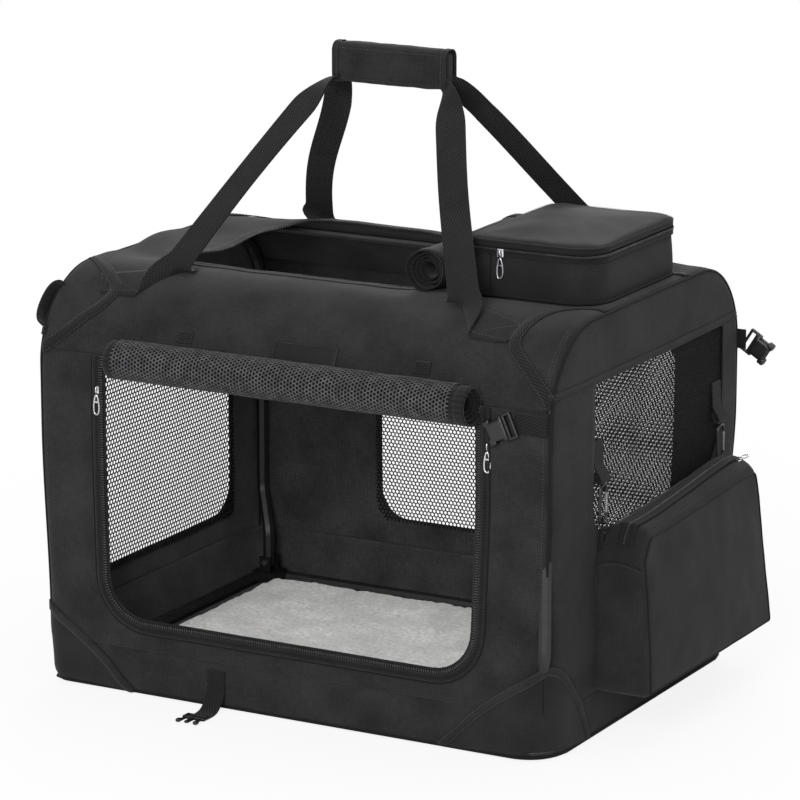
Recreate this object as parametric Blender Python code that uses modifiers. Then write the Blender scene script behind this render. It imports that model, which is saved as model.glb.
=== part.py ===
"""Soft folding dog crate: steel tube frame, cloth walls, rolled doors, pockets, straps and carry handle.

Metres, +Z up, front towards -Y. The origin is the middle of the underside.
"""
import math

import bmesh
import bpy
from mathutils import Matrix, Vector

# Overall size of the set-up crate
WIDTH = 0.700
DEPTH = 0.520
HEIGHT = 0.520

# Cloth, clearances and cutting overrun
CLOTH = 0.002
GAP = 0.0003
OVERRUN = 0.010
WELD = 0.00001

# Outer curves of the cloth body
TOP_CURVE_RADIUS = 0.110
SKIRT_HEIGHT = 0.018
BASE_CORNER_RADIUS = 0.045
RIM_HEIGHT = 0.060

# Steel tubes
TUBE_RADIUS = 0.008
TUBE_BEND_RADIUS = 0.030
FOOT_INSET = 0.0215
FOOT_BEND_LOW = 0.078
FOOT_BEND_HIGH = 0.130
ROD_RADIUS = 0.005
FRONT_ROD_INSET = 0.010
BACK_ROD_INSET = 0.001
ROD_END_GAP = 0.0005
ROD_NOTCH_SIDE = 0.0015
ROD_NOTCH_DEPTH = 0.0022

# Plastic hinges between the base tube and the side frames
LEFT_PIVOT_Z = 0.036
RIGHT_PIVOT_Z = 0.060
FOOT_DROP = 0.0055
BLOCK_SIZE = 0.034
BLOCK_TOP = 0.024
EAR_WIDTH = 0.016
EAR_THICKNESS = 0.0035
EAR_ABOVE_PIVOT = 0.008
PIN_RADIUS = 0.0025
PIN_HEAD_RADIUS = 0.004
PIN_HEAD_LENGTH = 0.002

# Stiff board and fleece mat
BOARD_THICKNESS = 0.004
MAT_THICKNESS = 0.022
MAT_MARGIN = 0.006
MAT_DRAW_IN = 0.004
MAT_CROWN_POWER = 6
MAT_EDGE_SHARE = 0.45
MAT_CELLS_X = 12
MAT_CELLS_Y = 8

# Front doorway, with the zip tape round it
DOORWAY_SIDE_WIDTH = 0.088
DOORWAY_BOTTOM = 0.092
DOORWAY_CORNER = 0.060
TAPE_WIDTH = 0.015
TAPE_THICKNESS = 0.0012

# Mesh windows: margins from the front, back and top edges of each wall, and heights of their sills
WINDOW_CORNER = 0.040
WINDOW_TOP_MARGIN = 0.080
LEFT_WINDOW_FRONT_MARGIN = 0.110
LEFT_WINDOW_BACK_MARGIN = 0.065
LEFT_WINDOW_SILL = 0.110
RIGHT_WINDOW_FRONT_MARGIN = 0.108
RIGHT_WINDOW_BACK_MARGIN = 0.052
RIGHT_WINDOW_SILL = 0.250
BACK_WINDOW_LEFT_MARGIN = 0.185
BACK_WINDOW_RIGHT_MARGIN = 0.088
BACK_WINDOW_SILL = 0.110
BACK_WINDOW_HEAD = 0.026
NET_PITCH = 0.045
NET_STRAND = 0.005
NET_THICKNESS = 0.0014
NET_BORDER = 0.006
HOLE_SHOULDER_SHARE = 0.5

# Opening in the top panel: margins from the left edge and from the front and back curves
TOP_OPENING_LEFT_MARGIN = 0.105
TOP_OPENING_FRONT_MARGIN = 0.030
TOP_OPENING_BACK_MARGIN = 0.015
TOP_OPENING_RIGHT_MARGIN = 0.250
TOP_OPENING_CORNER = 0.040

# Doors that are rolled up into spirals
ROLL_SHEET = 0.0022
ROLL_PITCH = 0.0046
ROLL_CORE = 0.007
DOOR_ROLL_END_TURN = 0.0
TOP_ROLL_END_TURN = 0.75
DOOR_ROLL_RADIUS = 0.0250
DOOR_ROLL_ABOVE_CURVE = 0.022
DOOR_ROLL_LEFT_MARGIN = 0.125
DOOR_ROLL_RIGHT_MARGIN = 0.088
TOP_ROLL_RADIUS = 0.0265
TOP_ROLL_PAST_OPENING = 0.012
TOP_ROLL_END_MARGIN = 0.025

# Tabs and blank label above the doorway
TIE_WIDTH = 0.022
TIE_HEIGHT = 0.014
TIE_CURVE_DEGREES = 27
TIE_PLACES = (-0.150, 0.176)
LABEL_WIDTH = 0.088
LABEL_HEIGHT = 0.023
LABEL_X = 0.017
LABEL_CURVE_DEGREES = 26
TRIM_THICKNESS = 0.0012

# Zipped pocket on the top panel
POCKET_WIDTH = 0.166
POCKET_SIDE_MARGIN = 0.019
POCKET_FRONT_MARGIN = 0.040
POCKET_BACK_MARGIN = 0.025
POCKET_CORNER = 0.020
POCKET_BODY_HEIGHT = 0.054
LID_HEIGHT = 0.018
LID_SEAM = 0.0006

# Zipped pouch hanging on the right wall
POUCH_FRONT_MARGIN = 0.110
POUCH_BACK_MARGIN = 0.055
POUCH_BOTTOM_Z = 0.063
POUCH_TOP_Z = 0.250
POUCH_DEPTH = 0.072
POUCH_CORNER = 0.008
POUCH_WALL_GAP = 0.0006
SLOT_WIDTH = 0.020
SLOT_MARGIN = 0.022

# Hooks, tabs and rings that hold the pouch
FRONT_HOOK_MARGIN = 0.094
REAR_HOOK_MARGIN = 0.039
HOOK_TUBE = 0.0021
HOOK_WIDTH = 0.017
HOOK_HEIGHT = 0.046
HOOK_TOP_Z = 0.316
HOOK_CORNER = 0.0080
GATE_TUBE = 0.0016
GATE_GAP = 0.0009
TAB_WIDTH = 0.025
TAB_HEIGHT = 0.052
TAB_THICKNESS = 0.0030
TAB_FOLD_DEPTH = 0.0120
TAB_FOLD_HEIGHT = 0.0060
HOOK_STAND_OFF = 0.0085
RING_RADIUS = 0.0060
RING_TUBE = 0.0014
RING_COVER = 0.0035
LUG_LENGTH = 0.012
LUG_THICKNESS = 0.008

# Carry handle
WEBBING_WIDTH = 0.040
WEBBING_THICKNESS = 0.0024
HANDLE_BASE_MARGIN = 0.145
HANDLE_LEAVE_DEGREES = 22
HANDLE_END_DEGREES = 40
GRIP_LENGTH = 0.158
GRIP_ABOVE_TOP = 0.248
GRIP_HEIGHT = 0.048
GRIP_DEPTH = 0.026
GRIP_CORNER = 0.008
STRAP_SPACING = 0.0045
STRAP_EXIT = 0.003
LEG_TURN = 0.026
FOLD_RISE = 0.012
GRIP_FIT = 0.0008

# Narrow webbing and side release buckles
TAPE_STRAP_WIDTH = 0.025
TAPE_STRAP_THICKNESS = 0.002
BUCKLE_WIDTH = 0.034
BUCKLE_LENGTH = 0.030
BUCKLE_THICKNESS = 0.011
BUCKLE_CORNER = 0.0025
MOUTH_WIDTH = 0.024
MOUTH_HEIGHT = 0.0060
MOUTH_DEPTH = 0.020
PRONG_LENGTH = 0.020
PRONG_WIDTH = 0.004
PRONG_SPACING = 0.009
PRONG_ROOT = 0.002
MALE_BODY_LENGTH = 0.018
MALE_THICKNESS = 0.0055
FRONT_BUCKLE_ABOVE_SKIRT = 0.0195
FRONT_STRAP_LENGTH = 0.046
BACK_BUCKLE_ABOVE_SKIRT = 0.019
BACK_STRAP_LENGTH = 0.020
BOTTOM_STRAP_X = -0.104
BOTTOM_PATCH_LOW = 0.022
BOTTOM_PATCH_HIGH = 0.050
BOTTOM_STRAP_REACH = 0.042
LOOP_FRONT_MARGIN = 0.020
LOOP_BELOW_TOP = 0.042
LOOP_WIDTH = 0.022
LOOP_HEIGHT = 0.056
LOOP_REACH = 0.016

# Zip sliders and their pull tabs
SLIDER_LENGTH = 0.011
SLIDER_WIDTH = 0.009
SLIDER_THICKNESS = 0.004
PULL_WIDTH = 0.007
PULL_LENGTH = 0.026
PULL_THICKNESS = 0.0014
PULL_HOLE_WIDTH = 0.0035
PULL_HOLE_LENGTH = 0.007
PULL_HOLE_MARGIN = 0.002
PULL_CORNER = 0.00175
LEFT_SLIDER_BELOW_SKIRT = 0.008
RIGHT_SLIDER_BELOW_SKIRT = 0.012
POCKET_SLIDER_IN = 0.041
SLIDER_PARK_GAP = 0.002

# Fine rounding of moulded and sewn edges
EDGE_ROUND = 0.0010
SOFT_ROUND = 0.0040

# Counts
ARC_STEPS = 6
TOP_ARC_STEPS = 10
TUBE_RESOLUTION = 2
ROLL_STEPS_PER_TURN = 20
ROUND_SIDES = 12

# Places that follow from the sizes above
INSIDE = CLOTH + GAP
TUBE_INSET = CLOTH + GAP + GAP + TUBE_RADIUS
TUBE_X = WIDTH / 2 - TUBE_INSET
TUBE_Y = DEPTH / 2 - TUBE_INSET
FOOT_X = TUBE_X - FOOT_INSET
FOOT_Y = TUBE_Y - FOOT_INSET
BASE_TUBE_Z = INSIDE + TUBE_RADIUS
ROD_Z = HEIGHT - INSIDE - ROD_RADIUS
FRAME_TOP_Z = ROD_Z - ROD_RADIUS - GAP - TUBE_RADIUS
CURVE_CENTRE_Y = DEPTH / 2 - TOP_CURVE_RADIUS
CURVE_CENTRE_Z = HEIGHT - TOP_CURVE_RADIUS
FRONT_ROD_Y = FRONT_ROD_INSET - CURVE_CENTRE_Y
BACK_ROD_Y = CURVE_CENTRE_Y - BACK_ROD_INSET
DOORWAY_HALF_WIDTH = WIDTH / 2 - DOORWAY_SIDE_WIDTH
DOOR_ROLL_Z = CURVE_CENTRE_Z + DOOR_ROLL_ABOVE_CURVE
DOOR_ROLL_START = DOOR_ROLL_LEFT_MARGIN - WIDTH / 2
DOOR_ROLL_END = WIDTH / 2 - DOOR_ROLL_RIGHT_MARGIN
WINDOW_TOP = HEIGHT - WINDOW_TOP_MARGIN
LEFT_WINDOW = (LEFT_WINDOW_FRONT_MARGIN - DEPTH / 2, LEFT_WINDOW_SILL,
               DEPTH / 2 - LEFT_WINDOW_BACK_MARGIN, WINDOW_TOP)
RIGHT_WINDOW = (RIGHT_WINDOW_FRONT_MARGIN - DEPTH / 2, RIGHT_WINDOW_SILL,
                DEPTH / 2 - RIGHT_WINDOW_BACK_MARGIN, WINDOW_TOP)
TOP_OPENING = (TOP_OPENING_LEFT_MARGIN - WIDTH / 2, TOP_OPENING_FRONT_MARGIN - CURVE_CENTRE_Y,
               WIDTH / 2 - TOP_OPENING_RIGHT_MARGIN, CURVE_CENTRE_Y - TOP_OPENING_BACK_MARGIN)
TOP_ROLL_X = TOP_OPENING[2] + TOP_ROLL_PAST_OPENING
TOP_ROLL_START = TOP_ROLL_END_MARGIN - CURVE_CENTRE_Y
TOP_ROLL_END = CURVE_CENTRE_Y - TOP_ROLL_END_MARGIN
POCKET_HIGH = (WIDTH / 2 - POCKET_SIDE_MARGIN, CURVE_CENTRE_Y - POCKET_BACK_MARGIN)
LOOP_Y = LOOP_FRONT_MARGIN - DEPTH / 2
LOOP_Z = HEIGHT - LOOP_BELOW_TOP
GRIP_Z = HEIGHT + GRIP_ABOVE_TOP
POUCH_LOW = (POUCH_FRONT_MARGIN - DEPTH / 2, POUCH_BOTTOM_Z)
POUCH_HIGH = (DEPTH / 2 - POUCH_BACK_MARGIN, POUCH_TOP_Z)
HOOK_PLACES = (FRONT_HOOK_MARGIN - DEPTH / 2, DEPTH / 2 - REAR_HOOK_MARGIN)
POCKET_LOW = (POCKET_HIGH[0] - POCKET_WIDTH, POCKET_FRONT_MARGIN - CURVE_CENTRE_Y)
SKIRT_BOTTOM_Z = CURVE_CENTRE_Z - SKIRT_HEIGHT
FRONT_BUCKLE_Z = SKIRT_BOTTOM_Z + FRONT_BUCKLE_ABOVE_SKIRT
BACK_BUCKLE_Z = SKIRT_BOTTOM_Z + BACK_BUCKLE_ABOVE_SKIRT
LEFT_SLIDER_Z = SKIRT_BOTTOM_Z - LEFT_SLIDER_BELOW_SKIRT
RIGHT_SLIDER_Z = SKIRT_BOTTOM_Z - RIGHT_SLIDER_BELOW_SKIRT
BACK_WINDOW = (BACK_WINDOW_LEFT_MARGIN - WIDTH / 2, BACK_WINDOW_SILL,
               WIDTH / 2 - BACK_WINDOW_RIGHT_MARGIN, SKIRT_BOTTOM_Z - BACK_WINDOW_HEAD)
BLOCK_OUTER_X = FOOT_X + BLOCK_SIZE / 2
BLOCK_OUTER_Y = FOOT_Y + BLOCK_SIZE / 2
BOARD_TOP = INSIDE + BOARD_THICKNESS
FRONT_FACE_Y = -DEPTH / 2
POCKET_FLOOR_Z = HEIGHT + GAP
LID_BOTTOM_Z = POCKET_FLOOR_Z + POCKET_BODY_HEIGHT + LID_SEAM
POUCH_X = WIDTH / 2 + POUCH_WALL_GAP
HANDLE_BASE_X = WIDTH / 2 - HANDLE_BASE_MARGIN
HOOK_X = WIDTH / 2 + HOOK_STAND_OFF
HOOK_BOTTOM_Z = HOOK_TOP_Z - HOOK_HEIGHT
RING_Z = HOOK_BOTTOM_Z + HOOK_TUBE + RING_TUBE + GAP - RING_RADIUS


def material(name, colour, roughness, metallic=0.0):
    """A plain finish named for the part that wears it."""
    finish = bpy.data.materials.new(name)
    finish.use_nodes = True
    shader = finish.node_tree.nodes["Principled BSDF"]
    shader.inputs["Base Color"].default_value = (*colour, 1.0)
    shader.inputs["Roughness"].default_value = roughness
    shader.inputs["Metallic"].default_value = metallic
    return finish


STEEL = ((0.30, 0.31, 0.32), 0.35, 0.9)
CLOTH_LOOK = ((0.036, 0.036, 0.037), 0.90, 0.0)
NET_LOOK = ((0.015, 0.015, 0.016), 0.80, 0.0)
WEBBING_LOOK = ((0.012, 0.012, 0.013), 0.85, 0.0)
PLASTIC = ((0.012, 0.012, 0.012), 0.40, 0.0)
ZIP_METAL = ((0.62, 0.62, 0.63), 0.25, 1.0)
FLEECE = ((0.72, 0.70, 0.66), 0.95, 0.0)
BOARD_LOOK = ((0.05, 0.05, 0.05), 0.80, 0.0)


def keep(piece, look):
    """Give a finished piece its own material and put it in the crate's collection."""
    piece.data.materials.clear()
    piece.data.materials.append(material(piece.name, *look))
    crate.link(piece)
    return piece


def hide_cutter(cutter):
    """A cutter is a guide: it is shown as wire and never rendered."""
    cutters.link(cutter)
    cutter.hide_render = True
    cutter.display_type = "WIRE"
    return cutter


def fillet(before, corner, after, radius, steps):
    """Points of the arc that rounds one corner."""
    if radius <= 0:
        return [corner.copy()]
    back = (before - corner).normalized()
    ahead = (after - corner).normalized()
    half = back.angle(ahead) / 2
    centre = corner + (back + ahead).normalized() * (radius / math.sin(half))
    start = corner + back * (radius / math.tan(half)) - centre
    end = corner + ahead * (radius / math.tan(half)) - centre
    turn = start.angle(end)
    points = []
    for step in range(steps + 1):
        share = step / steps
        blend = start * math.sin((1 - share) * turn) + end * math.sin(share * turn)
        points.append(centre + blend / math.sin(turn))
    return points


def rounded(corners, radii, closed, steps=ARC_STEPS):
    """A route through the corners, each rounded to its own radius."""
    places = [Vector(corner).to_3d() for corner in corners]
    count = len(places)
    route = []
    for index, place in enumerate(places):
        if not closed and index in (0, count - 1):
            route.append(place)
            continue
        before = places[index - 1]
        after = places[(index + 1) % count]
        route += fillet(before, place, after, radii[index], steps)
    return route


def rectangle(low_x, low_y, high_x, high_y, radius, steps=ARC_STEPS):
    """Outline of a rectangle with round corners."""
    corners = ((low_x, low_y), (high_x, low_y), (high_x, high_y), (low_x, high_y))
    return rounded(corners, (radius,) * len(corners), True, steps)


def curve_object(name, routes, closed, dimensions):
    """A curve of straight pieces through each route's points."""
    data = bpy.data.curves.new(name, "CURVE")
    data.dimensions = dimensions
    for route in routes:
        spline = data.splines.new("POLY")
        spline.points.add(len(route) - 1)
        for point, place in zip(spline.points, route):
            point.co = (*place, 1.0)
        spline.use_cyclic_u = closed
    return bpy.data.objects.new(name, data)


def to_mesh(curve):
    """Turn a curve object into a closed mesh object of the same name."""
    scene_objects.link(curve)
    bpy.context.view_layer.update()
    evaluated = curve.evaluated_get(bpy.context.evaluated_depsgraph_get())
    mesh = bpy.data.meshes.new_from_object(evaluated)
    name = curve.name
    place = curve.matrix_world.copy()
    bpy.data.objects.remove(curve)
    work = bmesh.new()
    work.from_mesh(mesh)
    bmesh.ops.remove_doubles(work, verts=work.verts, dist=WELD)
    bmesh.ops.recalc_face_normals(work, faces=work.faces)
    work.to_mesh(mesh)
    work.free()
    piece = bpy.data.objects.new(name, mesh)
    piece.matrix_world = place
    return piece


def tube(name, route, radius, closed=False, resolution=TUBE_RESOLUTION):
    """A round bar along a route."""
    curve = curve_object(name, [route], closed, "3D")
    curve.data.bevel_depth = radius
    curve.data.bevel_resolution = resolution
    curve.data.use_fill_caps = True
    return to_mesh(curve)


LYING = (0.0, 0.0, 0.0)
FACING_FRONT = (math.pi / 2, 0.0, 0.0)
FACING_SIDE = (math.pi / 2, 0.0, math.pi / 2)


def plate(name, outlines, thickness, turn, place):
    """A flat piece: outlines in its own plane, half the thickness on each side of its place."""
    curve = curve_object(name, outlines, True, "2D")
    curve.data.fill_mode = "BOTH"
    curve.data.extrude = thickness / 2
    piece = to_mesh(curve)
    piece.rotation_euler = turn
    piece.location = place
    return piece


def block(name, low, high, rounding=0.0, segments=2):
    """A box between two corners, with its edges rounded."""
    work = bmesh.new()
    bmesh.ops.create_cube(work, size=1.0)
    size = Vector(high) - Vector(low)
    bmesh.ops.scale(work, vec=size, verts=work.verts)
    mesh = bpy.data.meshes.new(name)
    work.to_mesh(mesh)
    work.free()
    piece = bpy.data.objects.new(name, mesh)
    piece.location = (Vector(low) + Vector(high)) / 2
    if rounding > 0:
        round_edges(piece, rounding, segments)
    return piece


def round_edges(piece, width, segments=2):
    bevel = piece.modifiers.new("rounded edges", "BEVEL")
    bevel.width = width
    bevel.segments = segments
    bevel.limit_method = "ANGLE"


def combine(piece, other, operation):
    """Cut or join with another shape, which stays behind as a guide."""
    boolean = piece.modifiers.new(operation.lower(), "BOOLEAN")
    boolean.operation = operation
    boolean.solver = "EXACT"
    boolean.object = hide_cutter(other)


def cut(piece, cutter):
    combine(piece, cutter, "DIFFERENCE")


def join(piece, addition):
    combine(piece, addition, "UNION")


def ribbon(name, places, across, width, thickness):
    """A flat band through the places, each with its own direction across the band."""
    work = bmesh.new()
    bmesh.ops.create_grid(work, x_segments=1, y_segments=len(places) - 1, size=width / 2)
    for index, vertex in enumerate(work.verts):
        row, column = divmod(index, 2)
        side = 1 if column else -1
        vertex.co = places[row] + across[row] * side * width / 2
    mesh = bpy.data.meshes.new(name)
    work.to_mesh(mesh)
    work.free()
    piece = bpy.data.objects.new(name, mesh)
    wall = piece.modifiers.new("thickness", "SOLIDIFY")
    wall.thickness = thickness
    wall.offset = 0.0
    return piece


def tub(name, outline, inner, low_z, high_z, floor):
    """An open tub: walls between two outlines, over a floor; a negative floor closes it on top."""
    height = high_z - low_z
    piece = plate(name, [outline], height, LYING, (0, 0, (low_z + high_z) / 2))
    if floor > 0:
        hollow_low = low_z + floor
        hollow_high = high_z + OVERRUN
    else:
        hollow_low = low_z - OVERRUN
        hollow_high = high_z + floor
    middle = (hollow_low + hollow_high) / 2
    cut(piece, plate(name + "_hollow", [inner], hollow_high - hollow_low, LYING, (0, 0, middle)))
    return piece


def make_base():
    """Base tube loop, cloth tray, stiff board and fleece mat."""
    half_x = WIDTH / 2
    half_y = DEPTH / 2
    outer = rectangle(-half_x, -half_y, half_x, half_y, BASE_CORNER_RADIUS)
    inner_x = half_x - CLOTH
    inner_y = half_y - CLOTH
    inner = rectangle(-inner_x, -inner_y, inner_x, inner_y, BASE_CORNER_RADIUS - CLOTH)
    keep(tub("base_tray", outer, inner, 0.0, RIM_HEIGHT, CLOTH), CLOTH_LOOK)
    keep(tube("base_frame", base_route(), TUBE_RADIUS, closed=True), STEEL)
    board_x = BLOCK_OUTER_X - BLOCK_SIZE - GAP
    board_y = BLOCK_OUTER_Y - BLOCK_SIZE - GAP
    keep(block("base_board", (-board_x, -board_y, INSIDE), (board_x, board_y, BOARD_TOP)), BOARD_LOOK)
    keep(fleece_mat(board_x - MAT_MARGIN, board_y - MAT_MARGIN), FLEECE)


def base_route():
    corner = BASE_CORNER_RADIUS - TUBE_INSET
    outline = rectangle(-TUBE_X, -TUBE_Y, TUBE_X, TUBE_Y, corner)
    return [Vector((point.x, point.y, BASE_TUBE_Z)) for point in outline]


def fleece_mat(half_x, half_y):
    """A cushion with a crown and drawn-in sides, flat where it lies on the board."""
    work = bmesh.new()
    bmesh.ops.create_grid(work, x_segments=MAT_CELLS_X, y_segments=MAT_CELLS_Y, size=1.0)
    lower = work.faces[:]
    grown = bmesh.ops.extrude_face_region(work, geom=lower)["geom"]
    for vertex in [item for item in grown if isinstance(item, bmesh.types.BMVert)]:
        vertex.co.z = 1.0
    low_z = BOARD_TOP + GAP
    for vertex in work.verts:
        share_x = vertex.co.x
        share_y = vertex.co.y
        fall = max(abs(share_x) ** MAT_CROWN_POWER, abs(share_y) ** MAT_CROWN_POWER)
        crown = MAT_EDGE_SHARE + (1 - MAT_EDGE_SHARE) * (1 - fall)
        draw = MAT_DRAW_IN * (1 - share_x * share_x)
        draw_side = MAT_DRAW_IN * (1 - share_y * share_y)
        x = share_x * (half_x - draw_side)
        y = share_y * (half_y - draw)
        z = low_z + vertex.co.z * MAT_THICKNESS * crown
        vertex.co = (x, y, z)
    bmesh.ops.recalc_face_normals(work, faces=work.faces)
    mesh = bpy.data.meshes.new("fleece_mat")
    work.to_mesh(mesh)
    work.free()
    return bpy.data.objects.new("fleece_mat", mesh)


def frame_route(side, pivot_z):
    """Route of one side frame: up one leg, over the top and down the other."""
    foot_z = pivot_z - FOOT_DROP
    corners = []
    for end in (-1, 1):
        leg = [(side * FOOT_X, end * FOOT_Y, foot_z), (side * FOOT_X, end * FOOT_Y, FOOT_BEND_LOW),
               (side * TUBE_X, end * TUBE_Y, FOOT_BEND_HIGH), (side * TUBE_X, end * TUBE_Y, FRAME_TOP_Z)]
        corners += leg if end < 0 else leg[::-1]
    top = TUBE_Y - CURVE_CENTRE_Y
    radii = (0, TUBE_BEND_RADIUS, TUBE_BEND_RADIUS, top, top, TUBE_BEND_RADIUS, TUBE_BEND_RADIUS, 0)
    return rounded(corners, radii, False)


def make_frames():
    """The two folding side frames and the two rods sewn under the top panel."""
    keep(tube("left_frame", frame_route(-1, LEFT_PIVOT_Z), TUBE_RADIUS), STEEL)
    keep(tube("right_frame", frame_route(1, RIGHT_PIVOT_Z), TUBE_RADIUS), STEEL)
    rod_end = TUBE_X - TUBE_RADIUS - ROD_END_GAP
    for name, y in (("front_rod", FRONT_ROD_Y), ("back_rod", BACK_ROD_Y)):
        ends = [Vector((-rod_end, y, ROD_Z)), Vector((rod_end, y, ROD_Z))]
        keep(tube(name, ends, ROD_RADIUS), STEEL)


def turned(name, profile, steps=ROUND_SIDES):
    """A turned shape round its own Z axis from a profile of radius and height, top to bottom."""
    work = bmesh.new()
    verts = [work.verts.new((radius, 0, height)) for radius, height in profile]
    for first, second in zip(verts, verts[1:]):
        work.edges.new((first, second))
    mesh = bpy.data.meshes.new(name)
    work.to_mesh(mesh)
    work.free()
    piece = bpy.data.objects.new(name, mesh)
    screw = piece.modifiers.new("turned", "SCREW")
    screw.steps = steps
    screw.render_steps = steps
    screw.use_merge_vertices = True
    screw.merge_threshold = WELD
    screw.use_smooth_shade = True
    return piece


def make_hinge(end_name, side, end, pivot_z):
    """One plastic hinge: a saddle on the base tube, two ears, and the pin through the frame's foot."""
    name = f"{end_name}_hinge"
    low_x = BLOCK_OUTER_X - BLOCK_SIZE
    low_y = BLOCK_OUTER_Y - BLOCK_SIZE
    xs = sorted((side * low_x, side * BLOCK_OUTER_X))
    ys = sorted((end * low_y, end * BLOCK_OUTER_Y))
    body = block(name, (xs[0], ys[0], BASE_TUBE_Z), (xs[1], ys[1], BLOCK_TOP))
    ear_inner = TUBE_RADIUS + GAP
    ear_outer = ear_inner + EAR_THICKNESS
    sink = EAR_THICKNESS / 2
    middle_x = side * FOOT_X
    middle_y = end * FOOT_Y
    for sign in (-1, 1):
        ear_ys = sorted((middle_y + sign * ear_inner, middle_y + sign * ear_outer))
        low = (middle_x - EAR_WIDTH / 2, ear_ys[0], BLOCK_TOP - sink)
        high = (middle_x + EAR_WIDTH / 2, ear_ys[1], pivot_z + EAR_ABOVE_PIVOT)
        join(body, block(f"{name}_ear_{sign}", low, high))
    cut(body, tube(f"{name}_groove", base_route(), TUBE_RADIUS + GAP, closed=True))
    bore_length = 2 * (ear_outer + OVERRUN)
    bore = cylinder(f"{name}_bore", PIN_RADIUS + GAP, bore_length, (middle_x, middle_y, pivot_z))
    cut(body, bore)
    keep(body, PLASTIC)
    reach = ear_outer + GAP
    profile = ((0, reach + PIN_HEAD_LENGTH), (PIN_HEAD_RADIUS, reach + PIN_HEAD_LENGTH),
               (PIN_HEAD_RADIUS, reach), (PIN_RADIUS, reach), (PIN_RADIUS, -reach),
               (PIN_HEAD_RADIUS, -reach), (PIN_HEAD_RADIUS, -reach - PIN_HEAD_LENGTH),
               (0, -reach - PIN_HEAD_LENGTH))
    pin = turned(f"{end_name}_hinge_pin", profile)
    pin.rotation_euler = (math.pi / 2, 0, 0)
    pin.location = (middle_x, middle_y, pivot_z)
    keep(pin, STEEL)


def cylinder(name, radius, length, middle):
    """A round cutter along Y."""
    work = bmesh.new()
    bmesh.ops.create_cone(work, cap_ends=True, segments=ROUND_SIDES, radius1=radius, radius2=radius,
                          depth=length)
    mesh = bpy.data.meshes.new(name)
    work.to_mesh(mesh)
    work.free()
    piece = bpy.data.objects.new(name, mesh)
    piece.rotation_euler = (math.pi / 2, 0, 0)
    piece.location = middle
    return piece


def drill_feet():
    """Bore each side frame's feet for its hinge pins."""
    for name, side, pivot_z in (("left_frame", -1, LEFT_PIVOT_Z), ("right_frame", 1, RIGHT_PIVOT_Z)):
        frame = bpy.data.objects[name]
        for end in (-1, 1):
            middle = (side * FOOT_X, end * FOOT_Y, pivot_z)
            length = 2 * (TUBE_RADIUS + OVERRUN)
            cut(frame, cylinder(f"{name}_foot_bore_{end}", PIN_RADIUS + GAP, length, middle))


def side_outline(inset, low_z):
    """Side wall outline in its own plane, along Y and Z, with the two top curves.

    Two notches in the top edge let the wall fold in past the ends of the rods.
    """
    half = DEPTH / 2 - inset
    top = HEIGHT - inset
    radius = TOP_CURVE_RADIUS - inset
    notch_z = ROD_Z - ROD_RADIUS - ROD_NOTCH_DEPTH
    notch_half = ROD_RADIUS + ROD_NOTCH_SIDE
    corners = [(-half, low_z), (half, low_z), (half, top)]
    for rod_y in (BACK_ROD_Y, FRONT_ROD_Y):
        back_y = rod_y + notch_half
        front_y = rod_y - notch_half
        corners += [(back_y, top), (back_y, notch_z), (front_y, notch_z), (front_y, top)]
    corners.append((-half, top))
    radii = (0, 0, radius) + (0,) * (len(corners) - 4) + (radius,)
    return rounded(corners, radii, True, TOP_ARC_STEPS)


def net(name, low_a, low_b, high_a, high_b, turn, place):
    """A flat net: a border and crossing strands, with one hole in each cell."""
    outline = rectangle(low_a, low_b, high_a, high_b, WINDOW_CORNER - GAP)
    columns = max(1, round((high_a - low_a) / NET_PITCH))
    rows = max(1, round((high_b - low_b) / NET_PITCH))
    cell_a = (high_a - low_a - 2 * NET_BORDER) / columns
    cell_b = (high_b - low_b - 2 * NET_BORDER) / rows
    holes = []
    for column in range(columns):
        for row in range(rows):
            a = low_a + NET_BORDER + (column + 1 / 2) * cell_a
            b = low_b + NET_BORDER + (row + 1 / 2) * cell_b
            if not in_window(a, b, low_a, low_b, high_a, high_b):
                continue
            half_a = (cell_a - NET_STRAND) / 2
            half_b = (cell_b - NET_STRAND) / 2
            holes.append([Vector(corner).to_3d() for corner in hexagon(a, b, half_a, half_b)])
    return plate(name, [outline] + holes, NET_THICKNESS, turn, place)


def hexagon(a, b, half_a, half_b):
    """Six corners of one hole, taller than it is wide at its ends."""
    shares = ((-1, 0), (-HOLE_SHOULDER_SHARE, -1), (HOLE_SHOULDER_SHARE, -1),
              (1, 0), (HOLE_SHOULDER_SHARE, 1), (-HOLE_SHOULDER_SHARE, 1))
    return [(a + share_a * half_a, b + share_b * half_b) for share_a, share_b in shares]


def in_window(a, b, low_a, low_b, high_a, high_b):
    """Whether a cell's middle keeps clear of the window's round corners."""
    reach = WINDOW_CORNER
    from_side = min(a - low_a, high_a - a)
    from_end = min(b - low_b, high_b - b)
    if from_side >= reach or from_end >= reach:
        return True
    distance = math.hypot(reach - from_side, reach - from_end)
    return distance < reach - NET_BORDER - (NET_PITCH - NET_STRAND) / 2


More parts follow.
